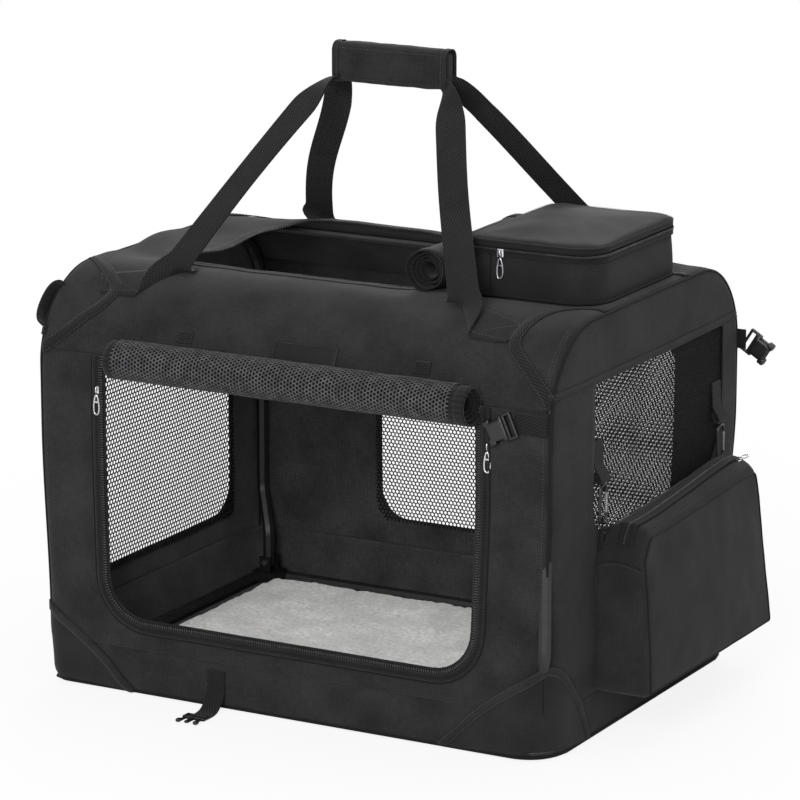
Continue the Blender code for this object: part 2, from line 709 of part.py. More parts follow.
def make_walls():
    """Side, front and back walls, each with its own opening, and the nets in the windows."""
    low_z = RIM_HEIGHT + GAP
    for name, side, window in (("left", -1, LEFT_WINDOW), ("right", 1, RIGHT_WINDOW)):
        place = (side * (WIDTH - CLOTH) / 2, 0, 0)
        hole = rectangle(*window, WINDOW_CORNER)
        wall = plate(f"{name}_wall", [side_outline(INSIDE, low_z), hole], CLOTH, FACING_SIDE, place)
        keep(wall, CLOTH_LOOK)
        keep(window_net(f"{name}_window", window, FACING_SIDE, place), NET_LOOK)
    half = WIDTH / 2
    top_z = SKIRT_BOTTOM_Z - GAP
    door = DOORWAY_HALF_WIDTH
    corners = ((-half, low_z), (half, low_z), (half, top_z), (door, top_z), (door, DOORWAY_BOTTOM),
               (-door, DOORWAY_BOTTOM), (-door, top_z), (-half, top_z))
    curve = DOORWAY_CORNER
    outline = rounded(corners, (0, 0, 0, 0, curve, curve, 0, 0), True)
    front_place = (0, FRONT_FACE_Y + CLOTH / 2, 0)
    keep(plate("front_wall", [outline], CLOTH, FACING_FRONT, front_place), CLOTH_LOOK)
    wide = door + TAPE_WIDTH
    tape_low = DOORWAY_BOTTOM - TAPE_WIDTH
    tape = ((wide, top_z), (door, top_z), (door, DOORWAY_BOTTOM), (-door, DOORWAY_BOTTOM),
            (-door, top_z), (-wide, top_z), (-wide, tape_low), (wide, tape_low))
    outer_curve = curve + TAPE_WIDTH
    outline = rounded(tape, (0, 0, curve, curve, 0, 0, outer_curve, outer_curve), True)
    tape_place = (0, FRONT_FACE_Y - GAP - TAPE_THICKNESS / 2, 0)
    keep(plate("doorway_zip_tape", [outline], TAPE_THICKNESS, FACING_FRONT, tape_place), NET_LOOK)
    back_place = (0, DEPTH / 2 - CLOTH / 2, 0)
    back = rectangle(-half, low_z, half, top_z, 0)
    hole = rectangle(*BACK_WINDOW, WINDOW_CORNER)
    keep(plate("back_wall", [back, hole], CLOTH, FACING_FRONT, back_place), CLOTH_LOOK)
    keep(window_net("back_window", BACK_WINDOW, FACING_FRONT, back_place), NET_LOOK)


def window_net(name, window, turn, place):
    low_a, low_b, high_a, high_b = window
    return net(name, low_a + GAP, low_b + GAP, high_a - GAP, high_b - GAP, turn, place)


def make_top_panel():
    """The cloth over the top and down over the front and back curves, with the top opening."""
    half = DEPTH / 2
    corners = ((-half, SKIRT_BOTTOM_Z), (-half, HEIGHT), (half, HEIGHT), (half, SKIRT_BOTTOM_Z))
    profile = rounded(corners, (0, TOP_CURVE_RADIUS, TOP_CURVE_RADIUS, 0), False, TOP_ARC_STEPS)
    work = bmesh.new()
    verts = [work.verts.new((-WIDTH / 2, point.x, point.y)) for point in profile]
    edges = [work.edges.new(pair) for pair in zip(verts, verts[1:])]
    swept = bmesh.ops.extrude_edge_only(work, edges=edges)["geom"]
    moved = [item for item in swept if isinstance(item, bmesh.types.BMVert)]
    bmesh.ops.translate(work, vec=(WIDTH, 0, 0), verts=moved)
    bmesh.ops.recalc_face_normals(work, faces=work.faces)
    top = max(work.faces, key=lambda face: face.calc_center_median().z)
    if top.normal.z < 0:
        bmesh.ops.reverse_faces(work, faces=work.faces)
    mesh = bpy.data.meshes.new("top_panel")
    work.to_mesh(mesh)
    work.free()
    panel = bpy.data.objects.new("top_panel", mesh)
    wall = panel.modifiers.new("thickness", "SOLIDIFY")
    wall.thickness = CLOTH
    wall.offset = -1.0
    opening = rectangle(*TOP_OPENING, TOP_OPENING_CORNER)
    cut(panel, plate("top_opening_cutter", [opening], OVERRUN, LYING, (0, 0, HEIGHT)))
    keep(panel, CLOTH_LOOK)


def spiral_outline(radius, start_turn):
    """Outline of a rolled sheet seen from its end, from the core out and back."""
    turns = (radius - ROLL_SHEET / 2 - ROLL_CORE) / ROLL_PITCH
    steps = round(turns * ROLL_STEPS_PER_TURN)
    outer = []
    inner = []
    for step in range(steps + 1):
        turn = step / ROLL_STEPS_PER_TURN
        angle = 2 * math.pi * (turn - turns + start_turn)
        middle = ROLL_CORE + turn * ROLL_PITCH
        ray = Vector((math.cos(angle), math.sin(angle), 0))
        outer.append(ray * (middle + ROLL_SHEET / 2))
        inner.append(ray * (middle - ROLL_SHEET / 2))
    print("rolled sheet, least gap between turns:", least_gap(outer, inner))
    return outer + inner[::-1]


def least_gap(outer, inner):
    """Least distance from one turn's outer side to the next turn's inner side."""
    return min((outer[index] - inner[index + ROLL_STEPS_PER_TURN]).length
               for index in range(len(outer) - ROLL_STEPS_PER_TURN))


def make_rolls():
    """The front door rolled up over its doorway and the top door rolled up beside its opening."""
    length = DOOR_ROLL_END - DOOR_ROLL_START
    outline = spiral_outline(DOOR_ROLL_RADIUS, DOOR_ROLL_END_TURN)
    place = ((DOOR_ROLL_START + DOOR_ROLL_END) / 2, door_roll_y(), DOOR_ROLL_Z)
    keep(plate("front_door_roll", [outline], length, FACING_SIDE, place), NET_LOOK)
    length = TOP_ROLL_END - TOP_ROLL_START
    outline = spiral_outline(TOP_ROLL_RADIUS, TOP_ROLL_END_TURN)
    middle_y = (TOP_ROLL_START + TOP_ROLL_END) / 2
    place = (TOP_ROLL_X, middle_y, HEIGHT + GAP + TOP_ROLL_RADIUS)
    keep(plate("top_door_roll", [outline], length, FACING_FRONT, place), CLOTH_LOOK)


def door_roll_y():
    """The roll touches the curve of the top panel at its own height."""
    reach = TOP_CURVE_RADIUS + GAP + DOOR_ROLL_RADIUS
    return -CURVE_CENTRE_Y - math.sqrt(reach ** 2 - (DOOR_ROLL_Z - CURVE_CENTRE_Z) ** 2)


def on_front_curve(degrees, height):
    """A place at a height over the front curve of the top panel, and the turn that lies along it."""
    angle = math.radians(degrees)
    reach = TOP_CURVE_RADIUS + height
    y = -CURVE_CENTRE_Y - reach * math.cos(angle)
    z = CURVE_CENTRE_Z + reach * math.sin(angle)
    return y, z, (math.pi / 2 - angle, 0, 0)


def make_front_trim():
    """Tie tabs and the bare label over the doorway, on the front curve."""
    height = GAP + TRIM_THICKNESS / 2
    tab = rectangle(-TIE_WIDTH / 2, -TIE_HEIGHT / 2, TIE_WIDTH / 2, TIE_HEIGHT / 2, 0)
    y, z, turn = on_front_curve(TIE_CURVE_DEGREES, height)
    for name, x in zip(("left_tie_tab", "right_tie_tab"), TIE_PLACES):
        keep(plate(name, [tab], TRIM_THICKNESS, turn, (x, y, z)), WEBBING_LOOK)
    label = rectangle(-LABEL_WIDTH / 2, -LABEL_HEIGHT / 2, LABEL_WIDTH / 2, LABEL_HEIGHT / 2, 0)
    y, z, turn = on_front_curve(LABEL_CURVE_DEGREES, height)
    keep(plate("blank_label", [label], TRIM_THICKNESS, turn, (LABEL_X, y, z)), WEBBING_LOOK)


def make_pocket():
    """The zipped box pocket on the top panel: its body and its lid."""
    outline = rectangle(*POCKET_LOW, *POCKET_HIGH, POCKET_CORNER)
    inner = rectangle(POCKET_LOW[0] + CLOTH, POCKET_LOW[1] + CLOTH, POCKET_HIGH[0] - CLOTH,
                      POCKET_HIGH[1] - CLOTH, POCKET_CORNER - CLOTH)
    body_top = POCKET_FLOOR_Z + POCKET_BODY_HEIGHT
    keep(tub("pocket_body", outline, inner, POCKET_FLOOR_Z, body_top, CLOTH), CLOTH_LOOK)
    lid_top = LID_BOTTOM_Z + LID_HEIGHT
    keep(tub("pocket_lid", outline, inner, LID_BOTTOM_Z, lid_top, -CLOTH), CLOTH_LOOK)


def make_pouch():
    """The zipped pouch on the right wall, with lugs for its rings and the slot that its zip closes."""
    low = Vector((POUCH_X, POUCH_LOW[0], POUCH_LOW[1]))
    high = Vector((POUCH_X + POUCH_DEPTH, POUCH_HIGH[0], POUCH_HIGH[1]))
    pouch = block("side_pouch", low, high, POUCH_CORNER, 3)
    for name, hook_y in zip(("front", "rear"), HOOK_PLACES):
        seat_y = ring_seat(hook_y)
        lug_low = (POUCH_X + CLOTH, seat_y - LUG_THICKNESS / 2, high.z - POUCH_CORNER)
        lug_top = RING_Z - RING_RADIUS + RING_COVER
        lug_high = (POUCH_X + LUG_LENGTH, seat_y + LUG_THICKNESS / 2, lug_top)
        join(pouch, block(f"{name}_pouch_lug", lug_low, lug_high))
        cut(pouch, ring(f"{name}_lug_bore", seat_y, RING_TUBE + GAP))
    wall = Vector((CLOTH, CLOTH, CLOTH))
    cut(pouch, block("side_pouch_hollow", low + wall, high - wall, POUCH_CORNER - CLOTH, 3))
    middle = POUCH_X + POUCH_DEPTH / 2
    slot_low = (middle - SLOT_WIDTH / 2, low.y + SLOT_MARGIN, high.z - CLOTH - OVERRUN)
    slot_high = (middle + SLOT_WIDTH / 2, high.y - SLOT_MARGIN, high.z + OVERRUN)
    cut(pouch, block("side_pouch_slot", slot_low, slot_high))
    keep(pouch, CLOTH_LOOK)


def ring_seat(hook_y):
    """A ring hangs at the hook's middle, kept over the pouch's top."""
    margin = POUCH_CORNER + LUG_THICKNESS / 2
    return max(POUCH_LOW[0] + margin, min(POUCH_HIGH[0] - margin, hook_y))


def ring(name, y, tube_radius):
    """A ring that stands square to the wall and to the hook."""
    work = bmesh.new()
    bmesh.ops.create_circle(work, segments=2 * ROUND_SIDES, radius=RING_RADIUS)
    circle = [vertex.co.copy() for vertex in work.verts]
    work.free()
    piece = tube(name, circle, tube_radius, closed=True)
    piece.rotation_euler = (math.pi / 2, 0, 0)
    piece.location = (HOOK_X, y, RING_Z)
    return piece


def make_hooks():
    """Each end of the pouch: a webbing tab on the wall, a snap hook, its gate and a ring."""
    for name, y in zip(("front", "rear"), HOOK_PLACES):
        hook_y = ring_seat(y)
        tab_low = HOOK_TOP_Z + HOOK_TUBE + GAP
        wall_x = WIDTH / 2 + GAP
        low = (wall_x, hook_y - TAB_WIDTH / 2, tab_low)
        high = (wall_x + TAB_THICKNESS, hook_y + TAB_WIDTH / 2, tab_low + TAB_HEIGHT)
        tab = block(f"{name}_pouch_tab", low, high)
        fold_high = (wall_x + TAB_FOLD_DEPTH, high[1], tab_low + TAB_FOLD_HEIGHT)
        join(tab, block(f"{name}_tab_fold", low, fold_high, EDGE_ROUND))
        keep(tab, WEBBING_LOOK)
        half = HOOK_WIDTH / 2
        nose_z = HOOK_BOTTOM_Z + HOOK_CORNER + HOOK_TUBE
        pivot_z = HOOK_TOP_Z - HOOK_CORNER - HOOK_TUBE
        places = ((half, nose_z), (half, HOOK_BOTTOM_Z), (-half, HOOK_BOTTOM_Z), (-half, HOOK_TOP_Z),
                  (half, HOOK_TOP_Z), (half, pivot_z))
        corners = [(HOOK_X, hook_y + across, z) for across, z in places]
        bend = HOOK_CORNER
        keep(tube(f"{name}_pouch_hook", rounded(corners, (0, bend, bend, bend, bend, 0), False),
                  HOOK_TUBE), PLASTIC)
        gate = [Vector((HOOK_X, hook_y + half, pivot_z - GATE_GAP)),
                Vector((HOOK_X, hook_y + half, nose_z + GATE_GAP))]
        keep(tube(f"{name}_hook_gate", gate, GATE_TUBE), STEEL)
        keep(ring(f"{name}_pouch_ring", hook_y, RING_TUBE), PLASTIC)


def strap_route(end):
    """Middle line of one handle strap and its direction across, from the left end to the right."""
    reach = TOP_CURVE_RADIUS + WEBBING_THICKNESS / 2 + GAP
    left = []
    grip_y = end * STRAP_SPACING
    leave = on_curve(HANDLE_LEAVE_DEGREES, reach)
    exit_place = Vector((-GRIP_LENGTH / 2 - STRAP_EXIT, grip_y, GRIP_Z))
    base = Vector((-HANDLE_BASE_X, end * leave[0], leave[1]))
    rise = exit_place - base
    along = rise.normalized()
    lean = rise.x / math.hypot(rise.y, rise.z)
    outward = Vector((0, end * rise.z, -end * rise.y)).normalized()
    if outward.y * end < 0:
        outward = -outward
    across = along.cross(outward)
    if across.z < 0:
        across = -across
    fold = Vector((-math.hypot(1, lean), 0, 0))
    steps = ARC_STEPS
    for step in range(steps, 0, -1):
        degrees = HANDLE_LEAVE_DEGREES + (HANDLE_END_DEGREES - HANDLE_LEAVE_DEGREES) * step / steps
        place = on_curve(degrees, reach)
        slip = math.radians(degrees - HANDLE_LEAVE_DEGREES) * reach * lean
        left.append((Vector((base.x - slip, end * place[0], place[1])), fold))
    left.append((base, fold))
    left.append((base + along * FOLD_RISE, across))
    left.append((exit_place - along * LEG_TURN, across))
    left.append((exit_place, Vector((0, 0, 1))))
    right = [(mirrored(place), mirrored(direction)) for place, direction in reversed(left)]
    both = left + right
    return [place for place, _ in both], [direction for _, direction in both]


def on_curve(degrees, reach):
    """Distance from the middle plane and height of a place on the top curve, from its level end."""
    angle = math.radians(degrees)
    return CURVE_CENTRE_Y + reach * math.sin(angle), CURVE_CENTRE_Z + reach * math.cos(angle)


def mirrored(place):
    return Vector((-place.x, place.y, place.z))


def make_handle():
    """Front and back webbing straps and the padded grip that wraps both."""
    for name, end in (("front_handle_strap", -1), ("back_handle_strap", 1)):
        places, across = strap_route(end)
        keep(ribbon(name, places, across, WEBBING_WIDTH, WEBBING_THICKNESS), WEBBING_LOOK)
    half = Vector((GRIP_LENGTH / 2, GRIP_DEPTH / 2, GRIP_HEIGHT / 2))
    middle = Vector((0, 0, GRIP_Z))
    grip = block("handle_grip", middle - half, middle + half, GRIP_CORNER, 3)
    hole_y = STRAP_SPACING + WEBBING_THICKNESS / 2 + GRIP_FIT
    hole_z = WEBBING_WIDTH / 2 + GRIP_FIT
    hole = Vector((GRIP_LENGTH / 2 + OVERRUN, hole_y, hole_z))
    cut(grip, block("grip_hole", middle - hole, middle + hole))
    keep(grip, CLOTH_LOOK)


def oriented(across, along, outward, place):
    """Matrix that lays a piece's X across, Y along and Z outward at a place."""
    turn = Matrix((across, along, outward)).transposed().to_4x4()
    return Matrix.Translation(place) @ turn


def socket_buckle(name, frame):
    """Socket half of a side release buckle; it opens towards +Y of its frame."""
    half = Vector((BUCKLE_WIDTH / 2, 0, BUCKLE_THICKNESS / 2))
    body = block(name, -half, half + Vector((0, BUCKLE_LENGTH, 0)), BUCKLE_CORNER)
    mouth_low = Vector((-MOUTH_WIDTH / 2, BUCKLE_LENGTH - MOUTH_DEPTH, -MOUTH_HEIGHT / 2))
    mouth_high = Vector((MOUTH_WIDTH / 2, BUCKLE_LENGTH + OVERRUN, MOUTH_HEIGHT / 2))
    mouth = block(f"{name}_mouth", mouth_low, mouth_high)
    cut(body, mouth)
    for piece in (body, mouth):
        piece.matrix_world = frame @ Matrix.Translation(piece.location)
    return keep(body, PLASTIC)


def plug_buckle(name, frame):
    """Plug half of a side release buckle: a body with three prongs towards +Y of its frame."""
    half = Vector((BUCKLE_WIDTH / 2, 0, MALE_THICKNESS / 2))
    body = block(name, -half, half + Vector((0, MALE_BODY_LENGTH, 0)), EDGE_ROUND)
    pieces = [body]
    for index in (-1, 0, 1):
        middle = index * PRONG_SPACING
        low = Vector((middle - PRONG_WIDTH / 2, MALE_BODY_LENGTH - PRONG_ROOT, -PRONG_WIDTH / 2))
        high = Vector((middle + PRONG_WIDTH / 2, MALE_BODY_LENGTH + PRONG_LENGTH, PRONG_WIDTH / 2))
        prong = block(f"{name}_prong_{index}", low, high)
        join(body, prong)
        pieces.append(prong)
    for piece in pieces:
        piece.matrix_world = frame @ Matrix.Translation(piece.location)
    return keep(body, PLASTIC)


def make_straps():
    """Short webbing straps with buckle halves, and the webbing loop on the left side."""
    face_y = FRONT_FACE_Y - GAP
    half = TAPE_STRAP_WIDTH / 2
    end_x = WIDTH / 2 - FRONT_STRAP_LENGTH
    thick = TAPE_STRAP_THICKNESS
    low = (end_x, face_y - thick, FRONT_BUCKLE_Z - half)
    high = (WIDTH / 2 - CLOTH, face_y, FRONT_BUCKLE_Z + half)
    keep(block("front_buckle_strap", low, high), WEBBING_LOOK)
    place = Vector((end_x - GAP, face_y - BUCKLE_THICKNESS / 2, FRONT_BUCKLE_Z))
    frame = oriented(Vector((0, 0, 1)), Vector((-1, 0, 0)), Vector((0, -1, 0)), place)
    socket_buckle("front_buckle", frame)
    back_y = DEPTH / 2 + GAP
    low = (WIDTH / 2 - BACK_STRAP_LENGTH, back_y, BACK_BUCKLE_Z - half)
    high = (WIDTH / 2 + BACK_STRAP_LENGTH / 2, back_y + thick, BACK_BUCKLE_Z + half)
    keep(block("back_buckle_strap", low, high), WEBBING_LOOK)
    place = Vector((high[0] + GAP, back_y + BUCKLE_THICKNESS / 2, BACK_BUCKLE_Z))
    frame = oriented(Vector((0, 0, -1)), Vector((1, 0, 0)), Vector((0, 1, 0)), place)
    socket_buckle("back_buckle", frame)
    make_bottom_strap(face_y, half, thick)
    make_left_loop()


def make_bottom_strap(face_y, half, thick):
    """The strap sewn low on the front, lying out on the floor, with the plug half at its end."""
    middle_y = face_y - thick / 2
    corner = BOTTOM_PATCH_LOW
    corners = ((BOTTOM_STRAP_X, middle_y, BOTTOM_PATCH_HIGH), (BOTTOM_STRAP_X, middle_y, corner),
               (BOTTOM_STRAP_X, middle_y - corner, thick / 2 + GAP),
               (BOTTOM_STRAP_X, middle_y - BOTTOM_STRAP_REACH, thick / 2 + GAP))
    route = rounded(corners, (0, SOFT_ROUND, SOFT_ROUND, 0), False)
    across = [Vector((1, 0, 0))] * len(route)
    keep(ribbon("bottom_buckle_strap", route, across, TAPE_STRAP_WIDTH, thick), WEBBING_LOOK)
    place = Vector((BOTTOM_STRAP_X, middle_y - BOTTOM_STRAP_REACH - GAP, MALE_THICKNESS / 2))
    frame = oriented(Vector((-1, 0, 0)), Vector((0, -1, 0)), Vector((0, 0, 1)), place)
    plug_buckle("bottom_buckle", frame)


def make_left_loop():
    """A webbing loop sewn into the seam of the left side, open from front to back."""
    wall_x = -WIDTH / 2 - GAP
    half_z = LOOP_HEIGHT / 2
    thick = TAPE_STRAP_THICKNESS
    low = Vector((wall_x - LOOP_REACH, LOOP_Y - LOOP_WIDTH / 2, LOOP_Z - half_z))
    high = Vector((wall_x, LOOP_Y + LOOP_WIDTH / 2, LOOP_Z + half_z))
    loop = block("left_loop", low, high, SOFT_ROUND, 3)
    wall = Vector((thick, -OVERRUN, thick))
    cut(loop, block("left_loop_hole", low + wall, high - wall))
    keep(loop, WEBBING_LOOK)


def zip_slider(name, frame):
    """A slider on its zip and the pull tab hinged at its lower end; -Y of the frame is down the zip."""
    half = Vector((SLIDER_WIDTH / 2, SLIDER_LENGTH / 2, 0))
    body = block(f"{name}_slider", -half, half + Vector((0, 0, SLIDER_THICKNESS)), EDGE_ROUND)
    body.matrix_world = frame @ Matrix.Translation(body.location)
    keep(body, ZIP_METAL)
    outer = rectangle(-PULL_WIDTH / 2, -PULL_LENGTH, PULL_WIDTH / 2, 0, PULL_CORNER)
    hole_low = PULL_HOLE_MARGIN - PULL_LENGTH
    hole = rectangle(-PULL_HOLE_WIDTH / 2, hole_low, PULL_HOLE_WIDTH / 2, hole_low + PULL_HOLE_LENGTH, 0)
    pull = plate(f"{name}_pull", [outer, hole], PULL_THICKNESS, LYING, (0, 0, 0))
    start = Vector((0, -SLIDER_LENGTH / 2 - GAP, SLIDER_THICKNESS / 2))
    pull.matrix_world = frame @ Matrix.Translation(start)
    keep(pull, ZIP_METAL)


def make_zips():
    """The four zips' sliders: two on the doorway, one on the pocket and one on the pouch."""
    right = Vector((1, 0, 0))
    up = Vector((0, 0, 1))
    front = Vector((0, -1, 0))
    back = Vector((0, 1, 0))
    zip_x = DOORWAY_HALF_WIDTH + TAPE_WIDTH / 2
    tape_y = FRONT_FACE_Y - GAP - TAPE_THICKNESS - GAP
    zip_slider("doorway_left", oriented(right, up, front, Vector((-zip_x, tape_y, LEFT_SLIDER_Z))))
    zip_slider("doorway_right", oriented(right, up, front, Vector((zip_x, tape_y, RIGHT_SLIDER_Z))))
    pocket_z = POCKET_FLOOR_Z + POCKET_BODY_HEIGHT - SLIDER_LENGTH / 2
    place = Vector((POCKET_LOW[0] + POCKET_SLIDER_IN, POCKET_LOW[1] - GAP, pocket_z))
    zip_slider("pocket", oriented(right, up, front, place))
    slider_y = POUCH_HIGH[0] - SLOT_MARGIN + SLIDER_LENGTH / 2 + SLIDER_PARK_GAP
    place = Vector((POUCH_X + POUCH_DEPTH / 2, slider_y, POUCH_HIGH[1] + GAP))
    zip_slider("pouch", oriented(-right, front, up, place))


def new_collection(name):
    collection = bpy.data.collections.new(name)
    bpy.context.scene.collection.children.link(collection)
    return collection.objects


def hang(axis_name, place, nodes):
    """An empty on a joint's axis, carrying the pieces that move with it."""
    empty = bpy.data.objects.new(axis_name, None)
    empty.location = place
    crate.link(empty)
    bpy.context.view_layer.update()
    for name in nodes:
        piece = bpy.data.objects[name]
        piece.parent = empty
        piece.matrix_parent_inverse = empty.matrix_world.inverted()
    return empty


def hang_all():
    """Every moving group on its own axis; groups that ride on another are parented to it."""
    hang("bottom_buckle_axis", bottom_buckle_axis(), ("bottom_buckle",))
    hang("left_frame_axis", (-FOOT_X, 0, LEFT_PIVOT_Z), ("left_frame", "left_wall", "left_window"))
    right_nodes = ["right_frame", "right_wall", "right_window"]
    for name in ("front", "rear"):
        right_nodes += [f"{name}_pouch_tab", f"{name}_pouch_hook"]
    right = hang("right_frame_axis", (FOOT_X, 0, RIGHT_PIVOT_Z), right_nodes)
    top_nodes = ["top_panel", "front_rod", "back_rod", "front_door_roll", "top_door_roll", "left_tie_tab",
                 "right_tie_tab", "blank_label", "pocket_body", "front_handle_strap", "back_handle_strap",
                 "left_loop", "front_buckle_strap", "back_buckle_strap"]
    top = hang("top_axis", (0, 0, SKIRT_BOTTOM_Z), top_nodes)
    groups = [("handle_axis", (0, 0, GRIP_Z), ("handle_grip",), top),
              ("pocket_lid_axis", (POCKET_HIGH[0], 0, LID_BOTTOM_Z), ("pocket_lid",), top),
              ("front_buckle_axis", front_buckle_axis(), ("front_buckle",), top),
              ("back_buckle_axis", back_buckle_axis(), ("back_buckle",), top),
              ("pouch_axis", (HOOK_X, 0, HOOK_BOTTOM_Z),
               ("side_pouch", "front_pouch_ring", "rear_pouch_ring"), right)]
    carried = {}
    for name, place, nodes, parent in groups:
        carried[name] = hang(name, place, nodes)
        ride_on(carried[name], parent)
    for name, y in zip(("front", "rear"), HOOK_PLACES):
        gate_y = ring_seat(y) + HOOK_WIDTH / 2
        pivot_z = HOOK_TOP_Z - HOOK_CORNER - HOOK_TUBE
        ride_on(hang(f"{name}_gate_axis", (HOOK_X, gate_y, pivot_z), (f"{name}_hook_gate",)), right)
    for name, parent in (("doorway_left", top), ("doorway_right", top), ("pocket", top),
                         ("pouch", carried["pouch_axis"])):
        slider = bpy.data.objects[f"{name}_slider"]
        pull = bpy.data.objects[f"{name}_pull"]
        slider_axis = hang(f"{name}_slider_axis", slider.matrix_world.translation, (slider.name,))
        ride_on(slider_axis, parent)
        hinge = pull.matrix_world @ Vector((0, 0, PULL_THICKNESS / 2))
        ride_on(hang(f"{name}_pull_axis", hinge, (pull.name,)), slider_axis)


def ride_on(empty, parent):
    empty.parent = parent
    empty.matrix_parent_inverse = parent.matrix_world.inverted()


def front_buckle_axis():
    """The front buckle swings about its outer edge at the strap's end."""
    return (WIDTH / 2 - FRONT_STRAP_LENGTH - GAP, FRONT_FACE_Y - GAP - BUCKLE_THICKNESS, FRONT_BUCKLE_Z)


def back_buckle_axis():
    """The back buckle swings about its outer edge at the strap's end."""
    return (WIDTH / 2 + BACK_STRAP_LENGTH / 2 + GAP, DEPTH / 2 + GAP + BUCKLE_THICKNESS, BACK_BUCKLE_Z)


def bottom_buckle_axis():
    """The bottom buckle lifts about its upper edge at the strap's end."""
    strap_end = FRONT_FACE_Y - GAP - TAPE_STRAP_THICKNESS / 2 - BOTTOM_STRAP_REACH
    return (BOTTOM_STRAP_X, strap_end - GAP, MALE_THICKNESS)


for leftover in list(bpy.data.objects):
    bpy.data.objects.remove(leftover)

scene_objects = bpy.context.scene.collection.objects
crate = new_collection("soft_folding_crate")
cutters = new_collection("cutters")

make_base()
make_frames()
for end_name, side, end, pivot in (("left_front", -1, -1, LEFT_PIVOT_Z), ("left_back", -1, 1, LEFT_PIVOT_Z),
                                   ("right_front", 1, -1, RIGHT_PIVOT_Z),
                                   ("right_back", 1, 1, RIGHT_PIVOT_Z)):
    make_hinge(end_name, side, end, pivot)
drill_feet()
make_walls()
make_top_panel()
make_rolls()
make_front_trim()
make_pocket()
make_pouch()
make_hooks()
make_handle()
make_straps()
make_zips()
hang_all()
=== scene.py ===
"""Looks of the soft folding crate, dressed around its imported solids.

Metres throughout. The crate stands on z = 0, its doorway faces -Y and its pouch hangs towards +X.
"""

import math

import bmesh
import bpy
from mathutils import Matrix, Vector, noise


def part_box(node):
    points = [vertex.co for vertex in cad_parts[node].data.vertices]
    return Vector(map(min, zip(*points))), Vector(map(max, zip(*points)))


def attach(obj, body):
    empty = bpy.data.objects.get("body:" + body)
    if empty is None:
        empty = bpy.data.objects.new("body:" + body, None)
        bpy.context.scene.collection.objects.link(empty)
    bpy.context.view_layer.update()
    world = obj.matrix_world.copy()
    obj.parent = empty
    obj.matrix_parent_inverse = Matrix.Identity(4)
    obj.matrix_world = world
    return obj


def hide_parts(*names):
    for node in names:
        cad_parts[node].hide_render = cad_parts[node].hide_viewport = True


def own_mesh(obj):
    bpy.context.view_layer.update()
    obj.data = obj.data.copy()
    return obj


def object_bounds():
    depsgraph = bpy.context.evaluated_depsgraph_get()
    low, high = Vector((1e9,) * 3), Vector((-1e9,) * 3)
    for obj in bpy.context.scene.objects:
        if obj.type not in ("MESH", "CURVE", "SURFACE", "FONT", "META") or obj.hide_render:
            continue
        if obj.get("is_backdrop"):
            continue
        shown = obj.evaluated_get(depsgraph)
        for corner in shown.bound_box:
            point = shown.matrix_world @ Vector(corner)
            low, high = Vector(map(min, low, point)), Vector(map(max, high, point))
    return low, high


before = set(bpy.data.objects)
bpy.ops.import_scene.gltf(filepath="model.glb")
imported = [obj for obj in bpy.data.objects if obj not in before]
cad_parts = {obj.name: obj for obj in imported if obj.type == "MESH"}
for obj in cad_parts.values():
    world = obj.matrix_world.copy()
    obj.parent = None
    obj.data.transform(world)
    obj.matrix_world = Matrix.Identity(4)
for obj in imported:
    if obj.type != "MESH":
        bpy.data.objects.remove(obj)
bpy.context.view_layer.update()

UP, FRONT, BACK = Vector((0.0, 0.0, 1.0)), Vector((0.0, -1.0, 0.0)), Vector((0.0, 1.0, 0.0))
ACROSS, LEFT = Vector((1.0, 0.0, 0.0)), Vector((-1.0, 0.0, 0.0))

# Crate body, as in the solids
HALF_X = 0.350
HALF_Y = 0.260
TOP_Z = 0.520
CURVE_R = 0.110
CURVE_Y = HALF_Y - CURVE_R
CURVE_Z = TOP_Z - CURVE_R
BASE_Z = 0.0603
SEAM_Z = 0.427
EDGE_R = 0.008
FOOT_R = {-1: 0.024, 1: 0.052}
FOOT_RISE = (0.080, 0.330)
FLOOR_R = 0.012
SEAM_SHARE = math.pi / 4
CLOTH = 0.0012
QUARTER = math.pi / 2
# A wave texture of scale 1 repeats about every 0.314 units
WAVE_UNIT = 3.1831
SIDE_HALF = HALF_Y - EDGE_R + SEAM_SHARE * EDGE_R
SIDE_R = CURVE_R - EDGE_R + SEAM_SHARE * EDGE_R

# ---------------------------------------------------------------- colours and materials


def linear(code):
    """Linear colour from an sRGB hex code."""
    parts = [int(code[index:index + 2], 16) / 255 for index in (1, 3, 5)]
    return [part / 12.92 if part <= 0.04045 else ((part + 0.055) / 1.055) ** 2.4 for part in parts] + [1.0]


def add(tree, kind, links=None, **settings):
    """Add one node, set its properties and sockets, and link its inputs."""
    node = tree.nodes.new(kind)
    for name, value in settings.items():
        if hasattr(node, name):
            setattr(node, name, value)
        else:
            node.inputs[name.replace("_", " ")].default_value = value
    for socket, source in (links or {}).items():
        tree.links.new(source, node.inputs[socket])
    return node


def new_material(name, **sockets):
    finish = bpy.data.materials.new(name)
    finish.use_nodes = True
    shader = finish.node_tree.nodes["Principled BSDF"]
    for socket, value in sockets.items():
        shader.inputs[socket.replace("_", " ")].default_value = value
    return finish, finish.node_tree, shader


def tinted(tree, shader, tone, *stops):
    """Colour the surface by tone, from its dark stop to its light one."""
    colours = add(tree, "ShaderNodeValToRGB", {"Fac": tone})
    for element, (position, code) in zip(colours.color_ramp.elements, stops):
        element.position = position
        element.color = linear(code)
    tree.links.new(colours.outputs["Color"], shader.inputs["Base Color"])


def raised(tree, shader, height, depth, strength):
    """Raise the surface by height, as deep as its depth in metres."""
    bump = add(tree, "ShaderNodeBump", {"Height": height}, Distance=depth, Strength=strength)
    tree.links.new(bump.outputs["Normal"], shader.inputs["Normal"])


